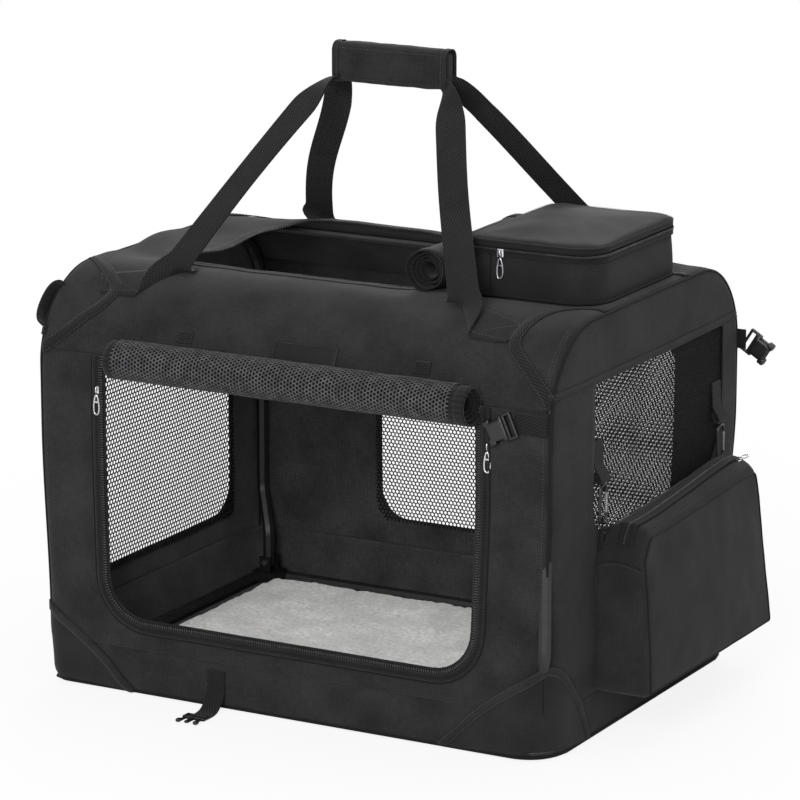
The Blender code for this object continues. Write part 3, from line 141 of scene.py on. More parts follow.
def woven(name, dark, light, thread_u, thread_v, depth, roughness, sheen, turn=0.0, slub=0.5):
    """Cloth of crossing threads along the piece's own UV map, whose units are metres."""
    finish, tree, shader = new_material(name, Roughness=roughness, Sheen_Weight=sheen, Sheen_Roughness=0.6,
                                        Specular_IOR_Level=0.14)
    uv = add(tree, "ShaderNodeUVMap", uv_map="cloth")
    lay = add(tree, "ShaderNodeMapping", {"Vector": uv.outputs["UV"]}, Rotation=(0.0, 0.0, turn))
    warp = add(tree, "ShaderNodeTexWave", {"Vector": lay.outputs["Vector"]}, bands_direction="X",
               Scale=1 / (thread_u * WAVE_UNIT), Distortion=0.6, Detail=1.0, Detail_Scale=2.0)
    weft = add(tree, "ShaderNodeTexWave", {"Vector": lay.outputs["Vector"]}, bands_direction="Y",
               Scale=1 / (thread_v * WAVE_UNIT), Distortion=0.6, Detail=1.0, Detail_Scale=2.0)
    cross = add(tree, "ShaderNodeMath", {0: warp.outputs["Fac"], 1: weft.outputs["Fac"]},
                operation="MULTIPLY")
    long_u = add(tree, "ShaderNodeMapping", {"Vector": uv.outputs["UV"]}, Scale=(520.0, 90.0, 1.0))
    long_v = add(tree, "ShaderNodeMapping", {"Vector": uv.outputs["UV"]}, Scale=(90.0, 520.0, 1.0))
    slub_u = add(tree, "ShaderNodeTexNoise", {"Vector": long_u.outputs["Vector"]}, Scale=1.0, Detail=2.0)
    slub_v = add(tree, "ShaderNodeTexNoise", {"Vector": long_v.outputs["Vector"]}, Scale=1.0, Detail=2.0)
    slubs = add(tree, "ShaderNodeMath", {0: slub_u.outputs["Fac"], 1: slub_v.outputs["Fac"]}, operation="ADD")
    mixed = add(tree, "ShaderNodeMix", {2: cross.outputs[0], 3: slubs.outputs[0]}, data_type="FLOAT")
    mixed.inputs[0].default_value = slub
    wear = add(tree, "ShaderNodeTexNoise", {"Vector": uv.outputs["UV"]}, Scale=14.0, Detail=3.0)
    tone = add(tree, "ShaderNodeMath", {0: mixed.outputs[0], 1: wear.outputs["Fac"]}, operation="MULTIPLY")
    tinted(tree, shader, tone.outputs[0], (0.14, dark), (0.50, light))
    raised(tree, shader, mixed.outputs[0], depth, 0.8)
    return finish


def grained(name, dark, light, grain, depth, **sockets):
    """A moulded, plated or coated surface with a fine grain and faint wear, on Object coordinates."""
    finish, tree, shader = new_material(name, **sockets)
    place = add(tree, "ShaderNodeTexCoord").outputs["Object"]
    fine = add(tree, "ShaderNodeTexNoise", {"Vector": place}, Scale=1 / grain, Detail=3.0)
    broad = add(tree, "ShaderNodeTexNoise", {"Vector": place}, Scale=0.1 / grain, Detail=4.0)
    both = add(tree, "ShaderNodeMath", {0: fine.outputs["Fac"], 1: broad.outputs["Fac"]},
               operation="MULTIPLY")
    tinted(tree, shader, both.outputs[0], (0.15, dark), (0.45, light))
    raised(tree, shader, fine.outputs["Fac"], depth, 0.6)
    return finish


# Polyester Oxford cloth, plain weave of fine melange yarn; threads drawn at 2 mm so that they show
OXFORD = woven("oxford polyester cloth", "#0f0f10", "#2c2c2d", 0.0020, 0.0020, 0.00014, 0.86, 0.06)
# The inner face of the same cloth, painted paler than the outer face as painted fill light inside the crate
PAINTED_FILL_LINING = woven("inner face of the cloth with painted fill light", "#1f1f20", "#474749", 0.0020, 0.0020, 0.00010, 0.88, 0.10)
# The same cloth seen smoother on the box pocket and the pouch
OXFORD_FINE = woven("fine oxford cloth", "#121213", "#2a2a2b", 0.0016, 0.0016, 0.00010, 0.82, 0.06, 0.0, 0.35)
# Polypropylene webbing, twill ribs about 3 mm apart
WEBBING = woven("polypropylene webbing", "#070708", "#2b2b2c", 0.0034, 0.0024, 0.00060, 0.74, 0.06, 0.5, 0.20)
# Grosgrain binding tape, ribbed across its length every 1.6 mm
BINDING = woven("grosgrain binding", "#0a0a0b", "#1f1f20", 0.0060, 0.0020, 0.00025, 0.78, 0.05, 0.0, 0.30)
# Knitted polyester mesh yarn, dull
MESH_YARN = grained("knitted mesh yarn", "#0c0c0d", "#1c1c1e", 0.0010, 0.00005, Roughness=0.80,
                    Specular_IOR_Level=0.2)
# The same yarn on the outside of the rolled door, painted paler as a painted highlight where it lies in the
# light, its loops paler than the cloth under them
PAINTED_LIT_ROLL_YARN = grained("knitted door mesh yarn with painted highlight", "#333334", "#5e5e60", 0.0010, 0.00005, Roughness=0.80,
                    Specular_IOR_Level=0.2)
# Nylon coil zip teeth, black and slightly shiny
COIL = grained("nylon coil teeth", "#1c1c1d", "#4a4a4c", 0.0012, 0.00004, Roughness=0.45)
# Nickel plated zinc sliders, tumbled and bright
NICKEL = grained("nickel plated zinc", "#a9aaad", "#e4e4e6", 0.0020, 0.00002, Metallic=1.0, Roughness=0.22)
# Moulded acetal buckles and hooks, satin with a fine spark grain
ACETAL = grained("moulded acetal", "#0a0a0b", "#171718", 0.0006, 0.00003, Roughness=0.42)
# Black powder coat on steel tube, fine orange peel
POWDER = grained("powder coated steel tube", "#131314", "#202122", 0.0012, 0.00004, Roughness=0.48)
# Zinc plated pins and gates
ZINC = grained("zinc plated pins", "#77797c", "#a8aaad", 0.0015, 0.00002, Metallic=1.0, Roughness=0.38)
# Stiff polyethylene floor board
BOARD = grained("polyethylene board", "#1b1b1c", "#2b2b2c", 0.0016, 0.00005, Roughness=0.65)
# Polyester sewing thread, greyer than the cloth
THREAD = grained("sewing thread", "#2a2a2b", "#4e4e50", 0.0008, 0.00003, Roughness=0.75)
# Rows of lockstitch: length, width and height of a stitch, the gap to the next one, and its thread
LONG_STITCH = ((0.0032, 0.0008, 0.0006), 0.0011, THREAD)
SHORT_STITCH = ((0.0030, 0.0007, 0.0006), 0.0010, THREAD)
FLAT_STITCH = ((0.0030, 0.0007, 0.0005), 0.0010, THREAD)
# Satin label, woven tight and left bare
LABEL = grained("woven satin label", "#060606", "#0d0d0e", 0.0008, 0.00002, Roughness=0.55,
               Specular_IOR_Level=0.2)
# Polyester fleece with a soft pile, off-white, with painted shade greying the hollows of its pile
FLEECE = grained("fleece pile", "#c9c8c6", "#fbfaf8", 0.0050, 0.00180, Roughness=0.95, Sheen_Weight=0.5,
                 Sheen_Roughness=0.5)

# ---------------------------------------------------------------- mesh helpers


def corners_of(name):
    """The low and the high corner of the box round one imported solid."""
    return [Vector(corner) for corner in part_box(name)]


def as_object(name, work, finish, uv=None):
    """Write a bmesh to a new object at the world origin."""
    mesh = bpy.data.meshes.new(name)
    work.to_mesh(mesh)
    work.free()
    if uv:
        layer = mesh.uv_layers.new(name="cloth")
        for loop in mesh.loops:
            layer.data[loop.index].uv = uv[loop.vertex_index]
    mesh.polygons.foreach_set("use_smooth", [True] * len(mesh.polygons))
    piece = bpy.data.objects.new(name, mesh)
    bpy.context.scene.collection.objects.link(piece)
    mesh.materials.append(finish)
    return piece


def sheet_mesh(name, rows, place, finish, closed=False, thickness=CLOTH, levels=1, flip=False, far_side=None):
    """A sheet of cloth from rows of flat places, each laid on the crate by a function.

    The flat places are kept as the UV map, so that the weave keeps its real size.
    """
    count = len(rows[0])
    work = bmesh.new()
    bmesh.ops.create_grid(work, x_segments=count - 1, y_segments=len(rows) - 1, size=1.0)
    flats = [flat for row in rows for flat in row]
    for vertex, flat in zip(work.verts, flats):
        vertex.co = place(*flat)
    if flip:
        bmesh.ops.reverse_faces(work, faces=work.faces)
    piece = as_object(name, work, finish, flats)
    if closed:
        weld = piece.modifiers.new("closed seam", "WELD")
        weld.merge_threshold = 0.00002
    if levels:
        smooth = piece.modifiers.new("soft cloth", "SUBSURF")
        smooth.levels = levels
        smooth.render_levels = levels
        smooth.boundary_smooth = "PRESERVE_CORNERS"
    if thickness:
        wall = piece.modifiers.new("cloth thickness", "SOLIDIFY")
        wall.thickness = thickness
        wall.offset = -1.0
        if far_side:
            piece.data.materials.append(far_side)
            wall.material_offset = 1
    return piece


def settle(piece):
    """Apply a piece's modifiers, so that its mesh is final."""
    evaluated = piece.evaluated_get(bpy.context.evaluated_depsgraph_get())
    mesh = bpy.data.meshes.new_from_object(evaluated)
    piece.modifiers.clear()
    piece.data = mesh
    return piece


def tube(name, points, radius, finish, closed=False, resolution=2):
    """A round cord or bar through the points."""
    data = bpy.data.curves.new(name, "CURVE")
    data.dimensions = "3D"
    data.bevel_depth = radius
    data.bevel_resolution = resolution
    data.use_fill_caps = True
    spline = data.splines.new("POLY")
    spline.points.add(len(points) - 1)
    for point, place in zip(spline.points, points):
        point.co = (*place, 1.0)
    spline.use_cyclic_u = closed
    curve = bpy.data.objects.new(name + "_line", data)
    bpy.context.scene.collection.objects.link(curve)
    evaluated = curve.evaluated_get(bpy.context.evaluated_depsgraph_get())
    mesh = bpy.data.meshes.new_from_object(evaluated)
    bpy.data.objects.remove(curve)
    mesh.name = name
    mesh.polygons.foreach_set("use_smooth", [True] * len(mesh.polygons))
    piece = bpy.data.objects.new(name, mesh)
    bpy.context.scene.collection.objects.link(piece)
    mesh.materials.clear()
    mesh.materials.append(finish)
    return piece


def joined(name, pieces):
    """Several pieces made into one mesh, keeping their materials."""
    finishes = []
    work = bmesh.new()
    for piece in pieces:
        evaluated = piece.evaluated_get(bpy.context.evaluated_depsgraph_get())
        mesh = bpy.data.meshes.new_from_object(evaluated)
        finish = mesh.materials[0]
        if finish not in finishes:
            finishes.append(finish)
        for polygon in mesh.polygons:
            polygon.material_index = finishes.index(finish)
        work.from_mesh(mesh)
        bpy.data.meshes.remove(mesh)
        bpy.data.objects.remove(piece)
    whole = as_object(name, work, finishes[0])
    for finish in finishes[1:]:
        whole.data.materials.append(finish)
    return whole


def frame_at(place, along, normal):
    """Matrix with X along, Z on the normal, at a place."""
    along = along.normalized()
    across = normal.cross(along).normalized()
    up = along.cross(across)
    return Matrix.Translation(place) @ Matrix((along, across, up)).transposed().to_4x4()


def studs(name, points, normals, size, gap, finish, round_ends=True):
    """A row of stitches or zip teeth along a line: length, width and height of each, and the gap."""
    work = bmesh.new()
    length, width, height = size
    travelled = 0.0
    target = length / 2
    for index in range(len(points) - 1):
        step = points[index + 1] - points[index]
        while target <= travelled + step.length:
            share = (target - travelled) / step.length
            normal = normals[index].lerp(normals[index + 1], share)
            matrix = frame_at(points[index] + step * share, step, normal)
            matrix = matrix @ Matrix.Diagonal((length / 2, width / 2, height / 2, 1.0))
            if round_ends:
                bmesh.ops.create_icosphere(work, subdivisions=1, radius=1.0, matrix=matrix)
            else:
                bmesh.ops.create_cube(work, size=2.0, matrix=matrix)
            target += length + gap
        travelled += step.length
    return as_object(name, work, finish)


def smooth_line(points, steps=8, closed=False):
    """A Catmull-Rom line through flat or solid points."""
    places = [Vector(point) for point in points]
    count = len(places)
    line = []
    spans = count if closed else count - 1
    for index in range(spans):
        if closed:
            near = [places[(index + offset) % count] for offset in (-1, 0, 1, 2)]
        else:
            near = [places[max(0, min(count - 1, index + offset))] for offset in (-1, 0, 1, 2)]
        for step in range(steps):
            t = step / steps
            line.append(0.5 * (2 * near[1] + (near[2] - near[0]) * t
                               + (2 * near[0] - 5 * near[1] + 4 * near[2] - near[3]) * t * t
                               + (3 * near[1] - near[0] - 3 * near[2] + near[3]) * t ** 3))
    if not closed:
        line.append(places[-1])
    return line


def offset_line(line, distance, closed=False):
    """A flat line moved sideways, to the left of its direction."""
    moved = []
    count = len(line)
    for index, place in enumerate(line):
        before = line[index - 1] if (closed or index) else place
        after = line[(index + 1) % count] if (closed or index < count - 1) else place
        along = (after - before).normalized()
        moved.append(place + Vector((-along.y, along.x)) * distance)
    return moved


def round_outline(low_u, low_v, high_u, high_v, radii, corner=7, side=10):
    """Closed flat outline with its own radius at each corner, with equal counts for every box."""
    corners = ((low_u, low_v, math.pi, radii[0]), (high_u, low_v, 1.5 * math.pi, radii[1]),
               (high_u, high_v, 0.0, radii[2]), (low_u, high_v, QUARTER, radii[3]))
    arcs = []
    for u, v, start, radius in corners:
        centre_u = u + radius if u == low_u else u - radius
        centre_v = v + radius if v == low_v else v - radius
        arcs.append([Vector((centre_u + radius * math.cos(start + QUARTER * step / corner),
                             centre_v + radius * math.sin(start + QUARTER * step / corner)))
                     for step in range(corner + 1)])
    outline = []
    for index, arc in enumerate(arcs):
        outline += arc
        following = arcs[(index + 1) % 4][0]
        outline += [arc[-1].lerp(following, step / side) for step in range(1, side)]
    return outline


def between(inner, outer, count):
    """Rows of flat places from one outline to another."""
    rows = []
    for step in range(count + 1):
        share = step / count
        rows.append([tuple(a.lerp(b, share)) for a, b in zip(inner, outer)])
    return rows


def closed_rows(rows):
    return [row + [row[0]] for row in rows]


# ---------------------------------------------------------------- the crate's own surface


def ease(value):
    value = max(0.0, min(1.0, value))
    return value * value * (3 - 2 * value)


def corner_radius(z, side=1):
    """The upright corners are tight at the top and wide at the foot."""
    return EDGE_R + (FOOT_R[side] - EDGE_R) * ease((FOOT_RISE[1] - z) / (FOOT_RISE[1] - FOOT_RISE[0]))


def tuck(z):
    """How far the cloth draws in at the floor."""
    if z >= FLOOR_R:
        return 0.0
    share = (FLOOR_R - z) / FLOOR_R
    return FLOOR_R * (1 - math.sqrt(max(0.0, 1 - share * share)))


def ripple(seed, a, b, size, height):
    """Soft unevenness of stretched cloth."""
    return noise.noise(Vector((a / size, b / size, seed))) * height


def slack(seed, margin, across, z):
    """A panel bellies out a little away from its edges, with soft ripples."""
    edge = ease(margin / 0.08) * ease((z - 0.02) / 0.10)
    broad = ripple(seed, across, z, 0.11, 0.0016)
    fine = ripple(seed + 4, across, z, 0.035, 0.0005)
    return edge * (0.0022 + broad + fine)


def bellied(surface):
    """The cloth of the left side stands out a little between its foot and its top."""
    def moved(*flat, **which):
        place = surface(*flat, **which)
        share = ease((-0.12 - place.x) / 0.20) * ease((place.z - 0.02) / 0.06)
        place.x -= 0.0040 * share * ease((0.515 - place.z) / 0.11)
        return place
    return moved


@bellied
def on_front(x, z, out=0.0, back=False):
    """A place on the front or back, out to the corner seams."""
    side = 1 if x >= 0 else -1
    radius = corner_radius(z, side)
    seam = HALF_X - radius + SEAM_SHARE * radius
    nominal = HALF_X - EDGE_R + SEAM_SHARE * EDGE_R
    x = x * seam / nominal
    out = out + slack(9 if back else 2, seam - abs(x), x, z) - tuck(z)
    y = HALF_Y
    if z > CURVE_Z:
        rise = min(z - CURVE_Z, CURVE_R)
        y = CURVE_Y + math.sqrt(CURVE_R ** 2 - rise ** 2)
    flat = HALF_X - radius
    if abs(x) <= flat:
        place_x, place_y = x, y + out
    else:
        angle = (abs(x) - flat) / radius
        place_x = side * (flat + (radius + out) * math.sin(angle))
        place_y = y - radius + (radius + out) * math.cos(angle)
    return Vector((place_x, place_y if back else -place_y, z))


@bellied
def on_side(y, z, out=0.0, side=1):
    """A place on the right or left side, out to its seams."""
    seed = 5 if side > 0 else 7
    if z > CURVE_Z:
        over = max(abs(y) - CURVE_Y, 0.0)
        rise = z - CURVE_Z
        reach = math.hypot(over, rise)
        flat = CURVE_R - EDGE_R
        out = out + slack(seed, SIDE_R - reach, y, z)
        if reach > flat:
            angle = (reach - flat) / EDGE_R
            grown = flat + (EDGE_R + out) * math.sin(angle)
            drop = EDGE_R - (EDGE_R + out) * math.cos(angle)
        else:
            grown = reach
            drop = -out
        scale = grown / max(reach, 0.000001)
        place_y = abs(y) if over == 0 else CURVE_Y + over * scale
        place_z = CURVE_Z + rise * scale
        x = HALF_X - drop
        return Vector((side * x, place_y if y >= 0 else -place_y, place_z))
    radius = corner_radius(z, side)
    seam = HALF_Y - radius + SEAM_SHARE * radius
    nominal = HALF_Y - EDGE_R + SEAM_SHARE * EDGE_R
    y = y * seam / nominal
    out = out + slack(seed, seam - abs(y), y, z) - tuck(z)
    flat = HALF_Y - radius
    if abs(y) <= flat:
        return Vector((side * (HALF_X + out), y, z))
    angle = (abs(y) - flat) / radius
    place_y = flat + (radius + out) * math.sin(angle)
    return Vector((side * (HALF_X - radius + (radius + out) * math.cos(angle)),
                   place_y if y >= 0 else -place_y, z))


ARC = CURVE_R * QUARTER
SEAM_S = CURVE_R * math.asin((SEAM_Z - CURVE_Z) / CURVE_R)
CAP_LENGTH = 2 * (ARC - SEAM_S) + 2 * CURVE_Y
CAP_HALF = HALF_X - EDGE_R + SEAM_SHARE * EDGE_R
ROD_S = (ARC + 0.010 - SEAM_S, ARC + 2 * CURVE_Y - 0.001 - SEAM_S)


def cap_slack(x, s):
    """The top cloth sags between the rods and creases towards its corners."""
    middle = ease((s - ROD_S[0]) / 0.06) * ease((ROD_S[1] - s) / 0.06)
    sides = ease((CAP_HALF - abs(x)) / 0.07)
    sag = -0.0050 * middle * sides
    left = ease((-x - 0.10) / 0.12)
    folds = 0.0034 * left * middle * math.sin(40 * (s + 0.8 * x))
    along = s - cap_s(0.135)
    bow = 0.013 * ease((x + 0.27) / 0.10) * ease((0.11 - x) / 0.16) * ease(1 - abs(along) / 0.055)
    return bow + sag + folds + sides * (ripple(3, x, s, 0.09, 0.0018) + ripple(6, x, s, 0.03, 0.0006))


@bellied
def on_cap(x, s, out=0.0):
    """A place on the top cloth: x across, s along it from the front seam over to the back seam."""
    flat = HALF_X - EDGE_R
    out = out + cap_slack(x, s)
    side = 1 if x >= 0 else -1
    place_x = x
    if abs(x) > flat:
        angle = (abs(x) - flat) / EDGE_R
        place_x = side * (flat + (EDGE_R + out) * math.sin(angle))
        out = (EDGE_R + out) * math.cos(angle) - EDGE_R
    run = s + SEAM_S
    if run < ARC:
        angle = run / CURVE_R
        return Vector((place_x, -CURVE_Y - (CURVE_R + out) * math.cos(angle),
                       CURVE_Z + (CURVE_R + out) * math.sin(angle)))
    if run <= ARC + 2 * CURVE_Y:
        return Vector((place_x, run - ARC - CURVE_Y, TOP_Z + out))
    angle = (run - ARC - 2 * CURVE_Y) / CURVE_R
    return Vector((place_x, CURVE_Y + (CURVE_R + out) * math.sin(angle),
                   CURVE_Z + (CURVE_R + out) * math.cos(angle)))


def cap_s(y):
    """Distance along the top cloth of a place on its level part."""
    return ARC + CURVE_Y + y - SEAM_S


def normal_of(place, u, v, **where):
    """Outward direction of a surface function at a flat place."""
    small = 0.0005
    return (place(u, v, small, **where) - place(u, v, 0.0, **where)).normalized()


def laid(place, flats, out, **where):
    """Solid points and normals of a flat line laid on a surface."""
    points = [place(flat[0], flat[1], out, **where) for flat in flats]
    normals = [normal_of(place, flat[0], flat[1], **where) for flat in flats]
    return points, normals


def dress(piece, body, slot, *nodes):
    """Let a piece ride on its body and stand for the solids it replaces; the slot is not used."""
    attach(piece, body)
    if nodes:
        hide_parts(*nodes)
    return piece


def crumple(piece, slot, *nodes):
    """A wall between the base and the top, riding on the root, with its modifiers applied and its mesh made
    its own.
    """
    dress(piece, "root", slot, *nodes)
    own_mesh(settle(piece))
    return piece


def strip(name, place, line, width, out, finish, levels=1, thickness=0.0009, closed=False, **where):
    """A flat tape along a flat line, laid on the crate at a height over the cloth."""
    left = offset_line(line, width / 2, closed)
    right = offset_line(line, -width / 2, closed)
    work_rows = between(right, left, 2)
    if closed:
        work_rows = closed_rows(work_rows)
    lengths = [0.0]
    ring = line + [line[0]] if closed else line
    for first, second in zip(ring, ring[1:]):
        lengths.append(lengths[-1] + (second - first).length)
    piece = sheet_mesh(name, work_rows, lambda u, v: place(u, v, out, **where), finish, closed=closed,
                       thickness=thickness, levels=0)
    layer = piece.data.uv_layers["cloth"]
    count = len(work_rows[0])
    for loop in piece.data.loops:
        row, column = divmod(loop.vertex_index, count)
        layer.data[loop.index].uv = (width * (row / 2 - 0.5), lengths[column])
    if levels:
        piece.modifiers.move(0, 0)
    return piece


# ---------------------------------------------------------------- camera, light and floor

camera_data = bpy.data.cameras.new("studio camera")
camera_data.lens = 191.5227
camera_data.sensor_width = 36.0
camera_data.clip_end = 60.0
camera = bpy.data.objects.new("studio camera", camera_data)
bpy.context.scene.collection.objects.link(camera)
right = Vector((0.87580, 0.48265, 0.0))
toward = Vector((0.46837, -0.84991, 0.24143))
upward = toward.cross(right)
turn = Matrix((right, upward, toward)).transposed().to_4x4()
camera.matrix_world = Matrix.Translation(Vector((0.0085, 0.0, 0.3472)) + toward * 5.2975) @ turn
bpy.context.scene.camera = camera


def lamp(name, place, aim, size, power):
    """A soft square studio lamp."""
    data = bpy.data.lights.new(name, "AREA")
    data.shape = "SQUARE"
    data.size = size
    data.energy = power
    light = bpy.data.objects.new(name, data)
    direction = Vector(aim) - Vector(place)
    light.matrix_world = Matrix.Translation(place) @ direction.to_track_quat("-Z", "Y").to_matrix().to_4x4()
    bpy.context.scene.collection.objects.link(light)


MIDDLE = (0.0, 0.0, 0.3)
lamp("key lamp", (0.7, -3.5, 1.9), MIDDLE, 1.8, 104.0)
lamp("right lamp", (3.2, -0.9, 1.6), MIDDLE, 1.8, 1.5)
lamp("top lamp", (0.3, 0.4, 3.2), MIDDLE, 1.8, 21.0)
lamp("back lamp", (-1.2, 3.0, 1.8), MIDDLE, 1.8, 30.0)

world = bpy.data.worlds.new("studio")
bpy.context.scene.world = world
world.use_nodes = True
room = world.node_tree
for node in list(room.nodes):
    room.nodes.remove(node)
path = add(room, "ShaderNodeLightPath")
seen = add(room, "ShaderNodeMath", {0: path.outputs["Is Camera Ray"], 1: path.outputs["Is Glossy Ray"]},
           operation="MAXIMUM")
seen = add(room, "ShaderNodeMath", {0: seen.outputs[0], 1: path.outputs["Is Transmission Ray"]},
           operation="MAXIMUM")
soft = add(room, "ShaderNodeBackground", Color=linear("#ffffff"), Strength=0.47)
white = add(room, "ShaderNodeBackground", Color=linear("#ffffff"), Strength=1.0)
choice = add(room, "ShaderNodeMixShader", {0: seen.outputs[0], 1: soft.outputs[0], 2: white.outputs[0]})
add(room, "ShaderNodeOutputWorld", {"Surface": choice.outputs[0]})

work = bmesh.new()
bmesh.ops.create_grid(work, x_segments=2, y_segments=2, size=9.0)
floor_finish, tree, shader = new_material("pale studio floor", Base_Color=linear("#f4f4f4"), Roughness=0.7)
path = add(tree, "ShaderNodeLightPath")
glow = add(tree, "ShaderNodeEmission", Color=linear("#ffffff"), Strength=1.0)
where = add(tree, "ShaderNodeTexCoord")
away = add(tree, "ShaderNodeVectorMath", {0: where.outputs["Object"]}, operation="LENGTH")
fade = add(tree, "ShaderNodeMapRange", {"Value": away.outputs["Value"]})
for socket, value in (("From Min", 0.45), ("From Max", 1.5), ("To Min", 0.87), ("To Max", 1.0)):
    fade.inputs[socket].default_value = value
share = add(tree, "ShaderNodeMath", {0: path.outputs["Is Camera Ray"], 1: fade.outputs["Result"]},
            operation="MULTIPLY")
mixed = add(tree, "ShaderNodeMixShader", {0: share.outputs[0], 1: shader.outputs[0], 2: glow.outputs[0]})
tree.links.new(mixed.outputs[0], tree.nodes["Material Output"].inputs["Surface"])
floor = as_object("studio_floor", work, floor_finish)
floor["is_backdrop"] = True
bpy.context.scene.view_settings.view_transform = "Standard"

# ---------------------------------------------------------------- cloth walls and the base

DOOR_HALF, DOOR_LOW, DOOR_CORNER = 0.262, 0.092, 0.060
LEFT_HOLE = (-0.150, 0.110, 0.195, 0.440)
HOLE_CORNERS = {-1: (0.040, 0.040, 0.005, 0.005), 1: (0.040, 0.085, 0.005, 0.005)}
RIGHT_HOLE = (-0.152, 0.250, 0.208, 0.440)
BACK_HOLE = (-0.165, 0.110, 0.262, 0.394)
TOP_HOLE = (-0.245, -0.120, 0.100, 0.135)
HOLE_R = 0.040


def line_to(*places, steps=12):
    """Flat places along straight lines through the corners."""
    line = []
    for first, second in zip(places, places[1:]):
        first, second = Vector(first), Vector(second)
        line += [first.lerp(second, step / steps) for step in range(steps)]
    line.append(Vector(places[-1]))
    return line


def hole_rows(hole, radii, box, box_radii, count, corner=8, side=14):
    """Rows of flat places from a round-cornered hole out to the edge of its panel."""
    def corners(low_u, low_v, high_u, high_v, sizes):
        places = ((low_u, low_v, math.pi), (high_u, low_v, 1.5 * math.pi), (high_u, high_v, 0.0),
                  (low_u, high_v, QUARTER))
        arcs = []
        for (u, v, start), radius in zip(places, sizes):
            centre = Vector((u + radius if u == low_u else u - radius,
                             v + radius if v == low_v else v - radius))
            arcs.append([centre + radius * Vector((math.cos(start + QUARTER * step / corner),
                                                   math.sin(start + QUARTER * step / corner)))
                         for step in range(corner + 1)])
        return arcs
    inner = corners(*hole, radii)
    outer = corners(*box, box_radii)
    for index, size in enumerate(box_radii):
        if size == 0:
            point, first, last = outer[index][0], inner[index][0], inner[index][-1]
            edge = [Vector((point.x, first.y)), Vector((last.x, point.y))]
            if index % 2:
                edge = [Vector((first.x, point.y)), Vector((point.x, last.y))]
            half = corner // 2
            outer[index] = [edge[0].lerp(point, step / half) for step in range(half)]
            outer[index] += [point.lerp(edge[1], step / half) for step in range(half + 1)]
    lines = []
    for arcs in (inner, outer):
        line = []
        for index, arc in enumerate(arcs):
            line += arc
            following = arcs[(index + 1) % 4][0]
            line += [arc[-1].lerp(following, step / side) for step in range(1, side)]
        lines.append(line)
    return closed_rows(between(lines[0], lines[1], count)), lines[0]


def door_line(out=0.0, low_z=None, steps=12):
    """The doorway's edge from its top left corner down and round to its top right corner."""
    half, low, radius = DOOR_HALF + out, DOOR_LOW - out, DOOR_CORNER + out
    top = SEAM_Z if low_z is None else low_z
    left = line_to((-half, top), (-half, low + radius), steps=steps)
    arc = [Vector((-half + radius - radius * math.cos(QUARTER * step / 8),
                   low + radius - radius * math.sin(QUARTER * step / 8))) for step in range(1, 8)]
    across = line_to((-half + radius, low), (half - radius, low), steps=2 * steps)
    mirrored = [Vector((-place.x, place.y)) for place in reversed(left + arc)]
    return left + arc + across + mirrored


def base_ring(z, out=0.0):
    """Places round the whole crate at one height, with the flat place of each for the weave."""
    ring = []
    travelled = 0.0
    halves = (CAP_HALF, SIDE_HALF, CAP_HALF, SIDE_HALF)
    for index, half in enumerate(halves):
        steps = 34 if half > 0.3 else 26
        for step in range(steps):
            along = -half + 2 * half * step / steps
            if index == 0:
                place = on_front(along, z, out)
            elif index == 1:
                place = on_side(along, z, out)
            elif index == 2:
                place = on_front(-along, z, out, back=True)
            else:
                place = on_side(-along, z, out, side=-1)
            ring.append((place, (travelled + half + along, z)))
        travelled += 2 * half
    ring.append((ring[0][0], (travelled, z)))
    return ring


def lofted(name, rings, finish, closed=True, levels=1, thickness=CLOTH, flip=False, far_side=None):
    """A sheet through rings of solid places that carry their own flat places."""
    count = len(rings[0])
    rows = [[(column, row) for column in range(count)] for row in range(len(rings))]
    piece = sheet_mesh(name, rows, lambda column, row: rings[row][column][0], finish, closed=closed,
                       thickness=thickness, levels=levels, flip=flip, far_side=far_side)
    layer = piece.data.uv_layers["cloth"]
    for loop in piece.data.loops:
        row, column = divmod(loop.vertex_index, count)
        layer.data[loop.index].uv = rings[row][column][1]
    return piece


heights = (0.0760, 0.0660, 0.0603, 0.050, 0.040, 0.030, 0.021, 0.012, 0.007, 0.003, 0.0007)
rings = [base_ring(z, -0.0020 if z > 0.0603 else 0.0) for z in heights]
low_ring = base_ring(0.0001)
for inset in (0.002, 0.012, 0.06, 0.14, 0.20, HALF_Y):
    shrunk = []
    for place, flat in low_ring:
        share_x = 1 - inset / HALF_Y
        shrunk.append((Vector((place.x * share_x, place.y * share_x, 0.0004)),
                       (place.x * share_x, place.y * share_x)))
    rings.append(shrunk)
base_cloth = lofted("base_cloth", rings, OXFORD, flip=True, far_side=PAINTED_FILL_LINING)
dress(base_cloth, "root", "oxford_cloth", "base_tray")
settle(base_cloth)

# Front wall: a U of cloth round the doorway
outer = line_to((-CAP_HALF, SEAM_Z), (-CAP_HALF, 0.152), steps=12)
outer += line_to((-CAP_HALF, 0.145), (-CAP_HALF, BASE_Z), (-0.202, BASE_Z), steps=4)[:-1]
outer += line_to((-0.202, BASE_Z), (0.202, BASE_Z), steps=24)
inner = door_line()
mirrored = [Vector((-place.x, place.y)) for place in reversed(outer[:20])]
outer = outer[:len(inner) - len(mirrored)] + mirrored
# The walls are lined inside with the paler cloth of painted fill light
front_cloth = sheet_mesh("front_cloth", between(inner, outer, 7), on_front, PAINTED_FILL_LINING, far_side=OXFORD)
crumple(front_cloth, "oxford_cloth", "front_wall")

rows, back_edge = hole_rows(BACK_HOLE, [HOLE_R, HOLE_R, 0.022, 0.022], (-CAP_HALF, BASE_Z, CAP_HALF, SEAM_Z),
                            (0, 0, 0, 0), 7)
back_cloth = sheet_mesh("back_cloth", rows, lambda x, z: on_front(x, z, back=True), PAINTED_FILL_LINING, closed=True,
                        flip=True, far_side=OXFORD)
crumple(back_cloth, "oxford_cloth", "back_wall")

